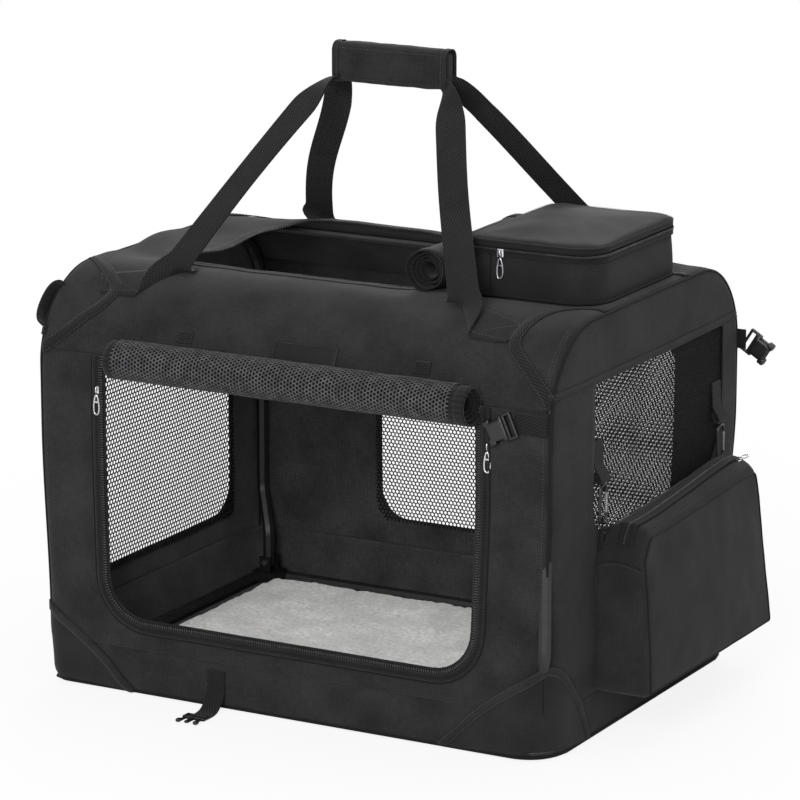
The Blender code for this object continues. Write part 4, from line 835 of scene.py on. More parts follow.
side_box = (-SIDE_HALF, BASE_Z, SIDE_HALF, CURVE_Z + SIDE_R)
side_edges = {}
for side, name, hole in ((-1, "left", LEFT_HOLE), (1, "right", RIGHT_HOLE)):
    rows, side_edges[name] = hole_rows(hole, HOLE_CORNERS[side], side_box, (0, 0, SIDE_R, SIDE_R), 8, side=16)
    wall = sheet_mesh(f"{name}_cloth", rows, lambda y, z, s=side: on_side(y, z, side=s), PAINTED_FILL_LINING, closed=True,
                      flip=side < 0, far_side=OXFORD)
    dress(wall, f"{name}_frame", "oxford_cloth", f"{name}_wall")
    settle(wall)

# ---------------------------------------------------------------- knitted windows and their bindings


def in_round_box(u, v, box, radius):
    low_u, low_v, high_u, high_v = box
    du = max(low_u + radius - u, u - high_u + radius, 0.0)
    dv = max(low_v + radius - v, v - high_v + radius, 0.0)
    return low_u <= u <= high_u and low_v <= v <= high_v and math.hypot(du, dv) <= radius


def knit(name, box, pitch, strand, place, finish, margin=0.006, radius=HOLE_R):
    """A net of six-sided knitted holes, its strands as wide as they are drawn."""
    low_u, low_v, high_u, high_v = box[0] - margin, box[1] - margin, box[2] + margin, box[3] + margin
    cell = pitch / math.sqrt(3)
    work = bmesh.new()
    rows = int((high_v - low_v) / (1.5 * cell)) + 2
    columns = int((high_u - low_u) / pitch) + 2
    course = bpy.data.meshes.new("course")
    for row in range(rows):
        stitches = bmesh.new()
        for column in range(columns):
            u = low_u + (column + 0.5 * (row % 2)) * pitch
            v = low_v + row * 1.5 * cell
            if in_round_box(u, v, (low_u, low_v, high_u, high_v), radius + margin):
                bmesh.ops.create_circle(stitches, cap_ends=True, segments=6, radius=cell,
                                        matrix=Matrix.Translation((u, v, 0.0)))
        stitches.to_mesh(course)
        stitches.free()
        work.from_mesh(course)
    bpy.data.meshes.remove(course)
    bmesh.ops.remove_doubles(work, verts=work.verts, dist=0.05 * cell)
    crossings = work.verts[:] + work.edges[:]
    strands = set(bmesh.ops.bevel(work, geom=crossings, offset=strand / 2, offset_type="OFFSET",
                                  affect="EDGES", segments=1, profile=0.5, material=-1)["faces"])
    holes = [face for face in work.faces if face not in strands]
    bmesh.ops.delete(work, geom=holes, context="FACES")
    for vertex in work.verts:
        u, v = vertex.co.x, vertex.co.y
        vertex.co = place(u, v)
    net = as_object(name, work, finish)
    wall = net.modifiers.new("yarn thickness", "SOLIDIFY")
    wall.thickness = 0.0007
    wall.offset = 0.0
    return settle(net)


YARN_IN = -0.0022
for side, name, hole in ((-1, "left", LEFT_HOLE), (1, "right", RIGHT_HOLE)):
    pitch = 0.0064 if side < 0 else 0.0036
    net = knit(f"{name}_net", hole, pitch, 0.27 * pitch, lambda y, z, s=side: on_side(y, z, YARN_IN, side=s),
               MESH_YARN, radius=0.005)
    dress(net, f"{name}_frame", "mesh_cloth", f"{name}_window")
back_net = knit("back_net", BACK_HOLE, 0.0056, 0.0015, lambda x, z: on_front(x, z, YARN_IN, back=True),
                MESH_YARN, radius=0.020)
crumple(back_net, "mesh_cloth", "back_window")


def bind_edge(name, place, line, closed, width=0.010, out=0.0014, finish=BINDING, stitched=True, **where):
    """Binding tape round an edge, with a row of stitches on each side of it."""
    tape = strip(f"{name}_tape", place, line, width, out, finish, closed=closed, **where)
    pieces = [tape]
    if stitched:
        for shift in (-0.32 * width, 0.32 * width):
            flats = offset_line(line, shift, closed)
            if closed:
                flats = flats + [flats[0]]
            points, normals = laid(place, flats, out + 0.0001, **where)
            pieces.append(studs(f"{name}_stitches", points, normals, *FLAT_STITCH))
    return pieces


def dense(line, spacing, closed=False):
    """The same line with places no further apart than the spacing."""
    ring = line + [line[0]] if closed else line
    result = []
    for first, second in zip(ring, ring[1:]):
        steps = max(1, round((second - first).length / spacing))
        result += [first.lerp(second, step / steps) for step in range(steps)]
    if not closed:
        result.append(ring[-1])
    return result


WINDOW_TRIM = (True, 0.0095, 0.0010, OXFORD_FINE)
for side, name in ((-1, "left"), (1, "right")):
    edge = dense(offset_line(side_edges[name], -0.004, True), 0.012, True)
    trim = joined(f"{name}_window_binding", bind_edge(name, on_side, edge, *WINDOW_TRIM, side=side))
    dress(trim, f"{name}_frame", "webbing")
edge = dense(offset_line(back_edge, -0.004, True), 0.012, True)
trim = joined("back_window_binding", bind_edge("back", on_front, edge, *WINDOW_TRIM, back=True))
crumple(trim, "webbing")

# ---------------------------------------------------------------- doorway zip

door_edge = dense(door_line(0.0005), 0.012)
pieces = bind_edge("doorway", on_front, offset_line(door_edge, -0.0040), False, 0.0135, 0.0018)
points, normals = laid(on_front, offset_line(door_edge, 0.0035), 0.0020)
pieces.append(studs("doorway_coil", points, normals, (0.0019, 0.0056, 0.0030), 0.0013, COIL))
inner_tape = strip("doorway_inner_tape", on_front, offset_line(door_edge, 0.0045), 0.0085, 0.0008, BINDING)
pieces.append(inner_tape)
points, normals = laid(on_front, offset_line(door_edge, -0.0105), 0.0016)
pieces.append(tube("doorway_ridge", points, 0.0012, BINDING))
doorway_zip = joined("doorway_zip", pieces)
crumple(doorway_zip, "mesh_cloth", "doorway_zip_tape")

# ---------------------------------------------------------------- top cloth

hole_s = (TOP_HOLE[0], cap_s(TOP_HOLE[1]), TOP_HOLE[2], cap_s(TOP_HOLE[3]))
rows, top_edge = hole_rows(hole_s, [HOLE_R, HOLE_R, HOLE_R, 0.060], (-CAP_HALF, 0.0, CAP_HALF, CAP_LENGTH),
                              (0, 0, 0, 0), 26, corner=26, side=34)
top_cloth = sheet_mesh("top_cloth", rows, on_cap, OXFORD, closed=True)
dress(top_cloth, "top", "oxford_cloth", "top_panel")
settle(top_cloth)

edge = dense(offset_line(top_edge, -0.0060, True), 0.010, True)
pieces = bind_edge("opening", on_cap, edge, True, 0.0150, 0.0018)
flats = dense(offset_line(top_edge, 0.0015, True), 0.010, True)
points, normals = laid(on_cap, flats + [flats[0]], 0.0016)
pieces.append(studs("opening_coil", points, normals, (0.0020, 0.0064, 0.0034), 0.0014, COIL))
opening_zip = joined("opening_zip", pieces)
dress(opening_zip, "top", "mesh_cloth")

# Piping that rolls over the edges between the top and the sides, with its row of stitches
for side, name in ((-1, "left"), (1, "right")):
    flats = [Vector((side * (CAP_HALF + 0.0006), CAP_LENGTH * step / 90)) for step in range(91)]
    points, normals = laid(on_cap, flats, 0.0012)
    cord = tube(f"{name}_top_piping", points, 0.0014, BINDING)
    pieces = [cord]
    for inset in (0.0065, 0.0105):
        flats = [Vector((side * (CAP_HALF - inset), CAP_LENGTH * step / 120)) for step in range(121)]
        points, normals = laid(on_cap, flats, 0.0003)
        pieces.append(studs(f"{name}_top_stitches", points, normals, *LONG_STITCH))
    piping = joined(f"{name}_top_piping", pieces)
    dress(piping, "top", "webbing")

# ---------------------------------------------------------------- padded and rounded pieces


def box_uv(piece):
    """A weave map in metres on each face, from the way that the face looks."""
    mesh = piece.data
    layer = mesh.uv_layers.get("cloth") or mesh.uv_layers.new(name="cloth")
    for polygon in mesh.polygons:
        sizes = [abs(part) for part in polygon.normal]
        axis = sizes.index(max(sizes))
        first, second = ((1, 2), (0, 2), (0, 1))[axis]
        for index in polygon.loop_indices:
            place = mesh.vertices[mesh.loops[index].vertex_index].co
            layer.data[index].uv = (place[first], place[second])
    return piece


def pillow_place(low, high, radius, swell, share):
    """The place of one share of a padded box with rounded edges."""
    middle, half = (low + high) / 2, (high - low) / 2
    bent = Vector([math.sin(QUARTER * part) * 0.35 + part * 0.65 for part in share])
    full = Vector([part * size for part, size in zip(bent, half)])
    core = Vector([max(-size + radius, min(size - radius, part)) for part, size in zip(full, half)])
    away = full - core
    place = core + away.normalized() * radius if away.length > 0.000001 else full
    return middle + place + (swell(bent, place) if swell else Vector())


def pillow(name, low, high, radius, finish, swell=None, cuts=18):
    """A closed padded box with rounded edges; swell gives each place its own offset."""
    work = bmesh.new()
    bmesh.ops.create_cube(work, size=2.0)
    bmesh.ops.subdivide_edges(work, edges=work.edges, cuts=cuts, use_grid_fill=True)
    for vertex in work.verts:
        vertex.co = pillow_place(Vector(low), Vector(high), radius, swell, vertex.co)
    return box_uv(as_object(name, work, finish))


def soften(piece, thickness):
    """Round the cut edges of a thick woven piece."""
    rounding = piece.modifiers.new("soft edge", "BEVEL")
    rounding.width = 0.3 * thickness
    rounding.segments = 2
    rounding.limit_method = "ANGLE"


def ribbon(name, places, across, width, thickness, finish, edges=True):
    """Webbing along solid places, as wide as its width across each; its UV runs along it."""
    if not hasattr(width, "__len__"):
        width = [width] * len(places)
    travelled = [0.0]
    for first, second in zip(places, places[1:]):
        travelled.append(travelled[-1] + (second - first).length)
    profile = (-0.5, -0.46, -0.25, 0.0, 0.25, 0.46, 0.5)
    rings = []
    for share in profile:
        rings.append([(place + way.normalized() * wide * share, (wide * share, run))
                      for place, way, wide, run in zip(places, across, width, travelled)])
    piece = lofted(name, rings, finish, closed=False, levels=0, thickness=thickness)
    piece.modifiers["cloth thickness"].offset = 0.0
    if edges:
        soften(piece, thickness)
    return settle(piece)


def flat_box(name, place, middle, size, out, thickness, finish, corner=0.0015, **where):
    """A small flat sewn piece on a surface, with a box of stitches round its edge."""
    rows = []
    for row in range(9):
        v = (row / 8 - 0.5) * size[1]
        rows.append([(middle[0] + (column / 12 - 0.5) * size[0], middle[1] + v) for column in range(13)])
    piece = sheet_mesh(name, rows, lambda u, v: place(u, v, out, **where), finish, thickness=thickness,
                       levels=0)
    soften(piece, thickness)
    half_u, half_v = size[0] / 2 - corner, size[1] / 2 - corner
    box = [Vector((middle[0] + u * half_u, middle[1] + v * half_v))
           for u, v in ((-1, -1), (1, -1), (1, 1), (-1, 1), (-1, -1))]
    points, normals = laid(place, dense(box, 0.003), out + 0.0002, **where)
    seam = studs(f"{name}_stitches", points, normals, (0.0026, 0.0007, 0.0006), 0.0009, THREAD)
    return joined(name, [piece, seam])


# Fleece mat: a crown, soft drawn-in sides and a pile of small tufts
mat_low, mat_high = corners_of("fleece_mat")


def mat_place(u, v, top):
    x = mat_low.x + (mat_high.x - mat_low.x) * u
    y = mat_low.y + (mat_high.y - mat_low.y) * v
    margin = min(u * (mat_high.x - mat_low.x), (1 - u) * (mat_high.x - mat_low.x),
                 v * (mat_high.y - mat_low.y), (1 - v) * (mat_high.y - mat_low.y))
    round_in = min(1.0, margin / 0.016)
    crown = math.sqrt(max(0.0, 1 - (1 - round_in) ** 2))
    middle = mat_low.z + 0.45 * (mat_high.z - mat_low.z)
    if not top:
        return Vector((x, y, middle - (middle - mat_low.z - 0.0004) * crown))
    tufts = noise.noise(Vector((x / 0.007, y / 0.007, 1.0))) * 0.0016
    tufts += noise.noise(Vector((x / 0.024, y / 0.024, 5.0))) * 0.0024
    lumps = noise.noise(Vector((x / 0.10, y / 0.10, 8.0))) * 0.0030
    return Vector((x, y, middle + (mat_high.z - middle - 0.0030) * crown + crown * (tufts + lumps)))


work = bmesh.new()
for top in (True, False):
    grid = bmesh.ops.create_grid(work, x_segments=216, y_segments=156, size=0.5)["verts"]
    for vertex in grid:
        vertex.co = mat_place(vertex.co.x + 0.5, vertex.co.y + 0.5, top)
    if not top:
        bottom = set(grid)
        bmesh.ops.reverse_faces(work, faces=[face for face in work.faces if set(face.verts) <= bottom])
bmesh.ops.remove_doubles(work, verts=work.verts, dist=0.00002)
mat = as_object("fleece_mat_pile", work, FLEECE)
dress(mat, "root", "fleece", "fleece_mat")

# ---------------------------------------------------------------- rolled doors

ROLL_Y = -CURVE_Y - math.sqrt((CURVE_R + 0.0253) ** 2 - 0.022 ** 2)
ROLL_Z = CURVE_Z + 0.022
ROLL_X = (-0.234, 0.262)


def spiral(radius, start_turn, core=0.0075, pitch=0.0046, steps=28, wobble=0.0):
    """Flat places of a rolled sheet from its core to its outside, with the length along it."""
    turns = (radius - core) / pitch
    count = round(turns * steps)
    line = []
    travelled = 0.0
    for index in range(count + 1):
        turn = index / steps
        angle = 2 * math.pi * (turn - turns + start_turn)
        middle = core + turn * pitch
        middle += wobble * math.sin(3 * angle + 1.7 * turn)
        place = Vector((middle * math.cos(angle), middle * math.sin(angle)))
        if line:
            travelled += (place - line[-1][0]).length
        line.append((place, travelled))
    return line


def roll_sheet(name, line, low, high, centre, along_x, finish, thickness, sections=26, seed=1.0, drawn=0):
    """A rolled sheet: the spiral drawn out along its axis, its inner turns a little shorter at the ends."""
    rings = []
    outside = line[-1][0].length
    for section in range(sections + 1):
        share = section / sections
        ring = []
        for place, travelled in line:
            inward = 0.016 * max(0.0, 1 - place.length / outside) ** 0.8
            way = drawn if drawn else 1 - 2 * share
            axis = low + (high - low) * share + inward * way
            dent = 1 + 0.018 * noise.noise(Vector((axis / 0.05, travelled / 0.03, seed)))
            dent += 0.010 * noise.noise(Vector((axis / 0.018, travelled / 0.02, seed)))
            u, v = place.x * dent, place.y * dent
            solid = (axis, centre[0] + u, centre[1] + v) if along_x else (centre[0] + u, axis, centre[1] + v)
            ring.append((Vector(solid), (travelled, axis)))
        rings.append(ring)
    return lofted(name, rings, finish, closed=False, levels=0, thickness=thickness, flip=along_x)


def rolled(name, line, low, high, centre, along_x):
    """A rolled door: its sheet, its ribbed bindings at both ends and the rows of stitches along them."""
    # The rolled sheet takes the near-black cloth of painted shade
    pieces = [roll_sheet(name, line, low, high, centre, along_x, PAINTED_SHADE_ROLL_CLOTH, 0.0013)]
    for index, (first, last) in enumerate(((low - 0.0006, low + 0.0135), (high - 0.0135, high + 0.0006))):
        grown = [(place * (1 + 0.0009 / max(place.length, 0.006)), travelled) for place, travelled in line]
        pieces.append(roll_sheet(f"{name}_end", grown, first, last, centre, along_x, BINDING, 0.0018, 4,
                                 drawn=-1 if index else 1))
    edge = dense([place * (1 + 0.0016 / place.length) for place, _ in line[-32:]], 0.0034)
    for axis in (low + 0.0015, high - 0.0015, low + 0.0115, high - 0.0115):
        points, normals = [], []
        for place in edge:
            points.append(Vector((axis, centre[0] + place.x, centre[1] + place.y)) if along_x
                          else Vector((centre[0] + place.x, axis, centre[1] + place.y)))
            normals.append(Vector((0.0, place.x, place.y)) if along_x else Vector((place.x, 0.0, place.y)))
        pieces.append(studs(f"{name}_end_stitches", points, normals, (0.0024, 0.0008, 0.0008), 0.0010,
                            THREAD))
    return pieces


# Layers of mesh door wound on each other, painted near black as painted shade in their depth
PAINTED_SHADE_ROLL_CLOTH = woven("rolled mesh door with painted shade", "#050506", "#0e0e0f", 0.0022, 0.0026, 0.00050, 0.85, 0.10, 0.0, 0.15)
door_spiral = spiral(0.0232, 0.0, wobble=0.0003)
pieces = rolled("door_roll", door_spiral, ROLL_X[0], ROLL_X[1], (ROLL_Y, ROLL_Z), True)


def on_roll(turned, along, out=0.0):
    """A place round the rolled door, from its arc length and its place along X."""
    angle = turned / 0.0240
    radius = 0.0240 + out + 0.0006 * noise.noise(Vector((along / 0.04, turned / 0.03, 2.0)))
    return Vector((along, ROLL_Y + radius * math.cos(angle), ROLL_Z + radius * math.sin(angle)))


girth = 2 * math.pi * 0.0240
# The outer net is drawn in the paler yarn of the painted highlight
outer_net = knit("door_roll_net", (0.0, ROLL_X[0] + 0.014, girth * 0.999, ROLL_X[1] - 0.022), 0.0050, 0.0016,
                 on_roll, PAINTED_LIT_ROLL_YARN, margin=0.0, radius=0.0)
pieces.append(outer_net)
end_band = roll_sheet("door_roll_band", [(place * 1.03, run) for place, run in spiral(0.0232, 0.0)[-30:]],
                      ROLL_X[1] - 0.024, ROLL_X[1] - 0.0130, (ROLL_Y, ROLL_Z), True, BINDING, 0.0016, 4)
pieces.append(end_band)
door_roll = joined("rolled_door", pieces)
dress(door_roll, "top", "mesh_cloth", "front_door_roll")

TOP_ROLL = (0.112, TOP_Z + 0.0268)
top_spiral = spiral(0.0252, 0.75, wobble=0.0004)
pieces = rolled("top_roll", top_spiral, -0.125, 0.125, TOP_ROLL, False)
top_roll = joined("rolled_top_door", pieces)
dress(top_roll, "top", "oxford_cloth", "top_door_roll")

# ---------------------------------------------------------------- sewn pieces over the doorway


def curve_s(degrees):
    """Distance along the top cloth of a place on the front curve, in degrees above its low end."""
    return math.radians(degrees) * CURVE_R - SEAM_S


for name, x in (("left", -0.150), ("right", 0.176)):
    tab = flat_box(f"{name}_tie_patch", on_cap, (x, curve_s(27)), (0.022, 0.015), 0.0028, 0.0018, WEBBING)
    dress(tab, "top", "webbing", f"{name}_tie_tab")
label = flat_box("bare_label", on_cap, (0.017, curve_s(26)), (0.088, 0.023), 0.0024, 0.0014, LABEL)
dress(label, "top", "webbing", "blank_label")

# ---------------------------------------------------------------- box pocket

pocket_low, pocket_high = corners_of("pocket_body")
lid_low, lid_high = corners_of("pocket_lid")
POCKET_R = (0.012, 0.038, 0.032, 0.020)
ZIP_RISE = 0.006
pocket_low.x -= 0.008
lid_low.x -= 0.008
rim_z = pocket_high.z + ZIP_RISE
POCKET_MIDDLE = Vector(((pocket_low.x + pocket_high.x) / 2, (pocket_low.y + pocket_high.y) / 2))


def pocket_outline(grow=0.0):
    box = (pocket_low.x - grow, pocket_low.y - grow, pocket_high.x + grow, pocket_high.y + grow)
    return round_outline(*box, [radius + grow for radius in POCKET_R], corner=8, side=14)


def pocket_rings(heights, insets, seed=11.0):
    """Rings of a soft box: its outline at each height, moved in or out."""
    rings = []
    for z, inset in zip(heights, insets):
        ring = []
        travelled = 0.0
        outline = pocket_outline(-inset)
        for index, place in enumerate(outline + [outline[0]]):
            if index:
                travelled += (place - outline[index - 1]).length
            puff = 0.0016 * noise.noise(Vector((place.x / 0.05, place.y / 0.05, z / 0.03 + seed)))
            out = (place - POCKET_MIDDLE).normalized() * puff
            ring.append((Vector((place.x + out.x, place.y + out.y, z)), (travelled, z - inset)))
        rings.append(ring)
    return rings


def crowned_lid(height, edge_z, seed=12.0):
    """Rings from the lid's edge in to its middle, with a soft crown."""
    rings = []
    for share in (0.0, 0.02, 0.05, 0.10, 0.18, 0.30, 0.45, 0.62, 0.80, 0.93, 1.0):
        ring = []
        outline = pocket_outline(0.0)
        for place in outline + [outline[0]]:
            flat = place.lerp(POCKET_MIDDLE, share)
            crown = height * math.sqrt(1 - (1 - min(1.0, share / 0.10)) ** 2)
            sag = 0.0060 * ease((share - 0.04) / 0.7)
            soft = 0.0022 * noise.noise(Vector((flat.x / 0.07, flat.y / 0.07, seed)))
            crease = Vector(((flat.x + 0.6 * flat.y) / 0.022, flat.y / 0.09, seed))
            soft += 0.0016 * ease(share / 0.1) * noise.noise(crease)
            ring.append((Vector((flat.x, flat.y, edge_z + crown + sag + soft)), (flat.x, flat.y)))
        rings.append(ring)
    return rings


floor_z = pocket_low.z + 0.0006
heights = (floor_z, floor_z + 0.004, floor_z + 0.012, floor_z + 0.024, floor_z + 0.036, floor_z + 0.046,
           rim_z - 0.002)
rings = pocket_rings(heights, (0.0010, -0.0012, -0.0022, -0.0020, -0.0012, 0.0002, 0.0010))
pocket_wall = lofted("pocket_wall", rings, OXFORD_FINE)
floor_rings = [rings[0]]
for share in (0.3, 0.7, 1.0):
    floor_rings.append([(Vector((*Vector((place.x, place.y)).lerp(POCKET_MIDDLE, share), floor_z + 0.0006)),
                         (place.x * (1 - share), place.y * (1 - share))) for place, flat in rings[0]])
pocket_floor = lofted("pocket_floor", floor_rings, OXFORD_FINE, levels=0, thickness=0.0008, flip=True)


def pocket_line(z, grow):
    """Solid points and outward directions round the pocket at one height."""
    outline = dense(pocket_outline(grow), 0.004, True)
    outline.append(outline[0])
    points = [Vector((place.x, place.y, z)) for place in outline]
    normals = []
    for index, place in enumerate(outline):
        before, after = outline[index - 1 if index else -2], outline[(index + 1) % len(outline)]
        along = (after - before).normalized()
        normals.append(Vector((along.y, -along.x, 0.0)))
    return points, normals


def zip_row(name, points, normals, out=0.0):
    """Coil teeth between two narrow tapes, along solid points."""
    moved = [point + normal * out for point, normal in zip(points, normals)]
    return studs(name, moved, normals, (0.0013, 0.0044, 0.0018), 0.0006, COIL)


def wall_tape(name, z_low, z_high, grow, finish, thickness=0.0010):
    """A tape that runs round the pocket between two heights."""
    rings = []
    for step in range(4):
        z = z_low + (z_high - z_low) * step / 3
        points, _ = pocket_line(z, grow)
        travelled = 0.0
        ring = []
        for index, point in enumerate(points):
            if index:
                travelled += (point - points[index - 1]).length
            ring.append((point, (z, travelled)))
        rings.append(ring)
    return lofted(name, rings, finish, levels=0, thickness=thickness)


pieces = [pocket_wall, pocket_floor,
          wall_tape("pocket_low_tape", rim_z - 0.0085, rim_z - 0.0022, 0.0016, BINDING)]
points, normals = pocket_line(rim_z - 0.0011, 0.0016)
pieces.append(zip_row("pocket_coil", points, normals))
points, normals = pocket_line(floor_z + 0.0020, 0.0014)
pieces.append(tube("pocket_foot_piping", points[:-1], 0.0016, BINDING, closed=True))
points = [Vector((pocket_low.x + 0.036, pocket_low.y - 0.0020, floor_z + 0.003 + 0.050 * step / 24))
          for step in range(25)]
pieces.append(tube("pocket_side_seam", points, 0.0009, BINDING))
pocket = joined("box_pocket", pieces)
dress(pocket, "top", "oxford_cloth", "pocket_body")

low_z = lid_low.z + ZIP_RISE + 0.0002
rings = pocket_rings((low_z, low_z + 0.003, lid_high.z - 0.0070, lid_high.z - 0.0050),
                     (0.0008, 0.0, -0.0004, 0.0), 13.0)
top_rings = crowned_lid(0.0052, lid_high.z - 0.0050)
lid_cloth = lofted("lid_cloth", rings + top_rings[1:], OXFORD_FINE)
pieces = [lid_cloth, wall_tape("pocket_high_tape", low_z + 0.0018, low_z + 0.0085, 0.0014, BINDING)]
points, normals = pocket_line(lid_high.z - 0.0044, 0.0006)
pieces.append(tube("lid_piping", points[:-1], 0.0013, OXFORD_FINE, closed=True))
points, normals = pocket_line(low_z + 0.0092, 0.0014)
pieces.append(studs("lid_stitches", points, normals, *SHORT_STITCH))
lid = joined("box_pocket_lid", pieces)
dress(lid, "pocket_lid", "oxford_cloth", "pocket_lid")

# ---------------------------------------------------------------- pouch on the right side

POUCH_LOW = Vector((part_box("side_pouch")[0][0] + 0.0004, -0.150, 0.063))
POUCH_HIGH = Vector((0.4226, 0.205, 0.250))
POUCH_MIDDLE = (POUCH_LOW + POUCH_HIGH) / 2


def pouch_swell(share, place):
    """The outer face bellies out and leans, and the top rises to its zip and falls at its front end."""
    outer = ease((share.x + 1) / 2)
    top = ease((share.z + 0.3) / 1.3)
    belly = max(0.0, 1 - share.y ** 2) * max(0.0, 1 - share.z ** 2)
    rear = ease((share.y + 0.9) / 1.9)
    front_fall = ease((-share.y - 0.83) / 0.17)
    across_top = 1 - 0.55 * share.x ** 2 if share.x < 0 else 1 - 0.35 * share.x ** 2
    moved = Vector((outer * (-0.001 - 0.005 * share.z + 0.009 * belly), 0.0, 0.0))
    moved.y = ease(share.y) * (0.35 + 0.65 * outer) * (-0.0085 - 0.0165 * share.z)
    moved.z = top * ((0.017 + 0.019 * rear) * across_top - 0.034 * front_fall)
    corner = max(0.0, share.y - 0.70) * max(0.0, share.z - 0.62) / (0.30 * 0.38)
    moved += Vector((0.0, -0.003, -0.004)) * corner
    where = POUCH_MIDDLE + place
    wave = noise.noise(where / 0.07) * 0.0030 + noise.noise(where / 0.024) * 0.0011
    dimple = -0.004 * ease(1 - abs(share.y + 0.80) / 0.25) * ease(1 - abs(share.z - 0.80) / 0.4) * outer
    return moved + Vector(((wave + dimple) * outer * min(1.0, 3 * belly) + 0.3 * dimple, 0.0,
                           wave * 0.5 * outer * top))


POUCH_R = 0.010
pouch_cloth = pillow("pouch_cloth", POUCH_LOW, POUCH_HIGH, POUCH_R, OXFORD_FINE, pouch_swell, cuts=38)
wall = pouch_cloth.modifiers.new("cloth thickness", "SOLIDIFY")
wall.thickness = CLOTH
wall.offset = -1.0


def on_pouch(*share):
    return pillow_place(POUCH_LOW, POUCH_HIGH, POUCH_R, pouch_swell, share)


def pouch_line(first, last, count=90):
    """Places on the pouch between two shares, with the outward direction at each."""
    first, last = Vector(first), Vector(last)
    places = [on_pouch(*first.lerp(last, step / count)) for step in range(count + 1)]
    normals = [(place - POUCH_MIDDLE - Vector((-0.2, 0.0, 0.0))).normalized() for place in places]
    return places, normals


pieces = [pouch_cloth]
points, _ = pouch_line((0.05, -0.90, 1.0), (0.05, 0.84, 1.0), 120)
ups = [UP] * 121
for shift in (-0.0068, 0.0068):
    moved = [point + Vector((shift, 0.0, 0.0012)) for point in points]
    pieces.append(ribbon("pouch_zip_tape", moved, [ACROSS] * 121, 0.0090, 0.0010, BINDING))
    ridge = [point + Vector((shift * 1.6, 0.0, 0.0010)) for point in points]
    pieces.append(tube("pouch_zip_ridge", ridge, 0.0011, OXFORD_FINE))
pieces.append(studs("pouch_coil", [point + Vector((0.0, 0.0, 0.0014)) for point in points], ups,
                    (0.0013, 0.0046, 0.0020), 0.0006, COIL))
EDGE = 0.93
SEAMS = (((1.0, -EDGE, EDGE), (1.0, EDGE, EDGE)), ((1.0, -EDGE, -EDGE), (1.0, EDGE, -EDGE)),
         ((1.0, -EDGE, -EDGE), (1.0, -EDGE, EDGE)), ((1.0, EDGE, -EDGE), (1.0, EDGE, EDGE)),
         ((-EDGE, -1.0, EDGE), (EDGE, -1.0, EDGE)))
for first, last in SEAMS:
    points, normals = pouch_line(first, last)
    line = [point + normal * 0.0002 for point, normal in zip(points, normals)]
    pieces.append(tube("pouch_seam", line, 0.0010, BINDING))
points, normals = pouch_line((0.80, -EDGE, 1.0), (0.80, EDGE, 1.0))
pieces.append(studs("pouch_stitches", [point + Vector((0.0, 0.0, 0.0003)) for point in points],
                    [UP] * len(points), *SHORT_STITCH))
points, normals = pouch_line((-EDGE, -1.0, EDGE - 0.07), (EDGE, -1.0, EDGE - 0.07))
pieces.append(studs("pouch_stitches", points, normals, *SHORT_STITCH))
for name, y in (("front", -0.138), ("rear", 0.193)):
    lug = [Vector((0.3562, y, 0.2380)), Vector((0.3575, y, 0.2560)), Vector((0.3585, y, 0.2640))]
    pieces.append(ribbon("pouch_lug", lug, [BACK] * 3, 0.008, 0.0024, WEBBING))
pouch = joined("zipped_pouch", pieces)
dress(pouch, "pouch", "oxford_cloth", "side_pouch")

# ---------------------------------------------------------------- webbing


grip_low, grip_high = corners_of("handle_grip")
GRIP_MIDDLE = (grip_low + grip_high) / 2
GRIP_SIZE = grip_high - grip_low
WEBBING_WIDE = 0.040
FOLD_SHIFT = {(-1, -1): 0.016, (-1, 1): 0.0, (1, -1): 0.016, (1, 1): 0.028}


def on_end(end, x, s, out):
    """A place on the top cloth's front half, or the same place on its back half."""
    return on_cap(x, s if end < 0 else CAP_LENGTH - s, out)


def leg_places(end, side):
    """Middle line, direction across and width of one handle leg, from its fold up to the grip."""
    shift = FOLD_SHIFT[end, side]
    inner = on_end(end, side * (0.180 + shift), 0.150, 0.0034)
    outer = on_end(end, side * (0.222 + shift), 0.082, 0.0034)
    base = (inner + outer) / 2
    low_z = GRIP_MIDDLE.z - GRIP_SIZE.z / 2
    inside = Vector((side * (GRIP_SIZE.x / 2 - 0.020), end * 0.0055, low_z + 0.014))
    leave = Vector((side * (GRIP_SIZE.x / 2 - 0.005), end * 0.0075, low_z + 0.007))
    knee = Vector((side * (GRIP_SIZE.x / 2 + (0.016 if side < 0 else 0.011)), end * 0.0235, low_z - 0.011))
    rise = leave - base
    along = rise.normalized()
    outward = Vector((0, end * rise.z, -end * rise.y)).normalized()
    if outward.y * end < 0:
        outward = -outward
    across = along.cross(outward)
    if across.x * side < 0:
        across = -across
    low_knee = base.lerp(leave, 0.5) + outward * 0.004 + Vector((0.007 * side if side < 0 else 0.0, 0.0, 0.0))
    path = dense(smooth_line([inside, leave, knee, low_knee, base], 16), 0.005)
    total = sum((second - first).length for first, second in zip(path, path[1:]))
    places, ways, widths = [], [], []
    run = 0.0
    for index, place in enumerate(path):
        if index:
            run += (place - path[index - 1]).length
        share = run / total
        curl = math.sin(2 * math.pi * min(1.0, share * 1.1))
        if end > 0:
            place = place + Vector((0.006 * curl * (1 if side < 0 else 0.4), 0.0, 0.0))
        fold = ease((share - 0.90) / 0.10)
        twist = math.radians(58) * (1 - ease(run / 0.075))
        way = across * math.cos(twist) + outward * math.sin(twist) * side
        way = way.lerp((outer - inner).normalized(), fold).normalized()
        cup = 0.12 * math.sin(math.pi * share)
        places.append(place)
        ways.append((way + outward * cup * end).normalized())
        bunched = 0.50 + 0.50 * ease(run / 0.085)
        wide = WEBBING_WIDE * (1 - 0.08 * math.sin(math.pi * share))
        widths.append((wide * (1 - fold) + (outer - inner).length * fold) * bunched)
    return places[::-1], ways[::-1], widths[::-1]


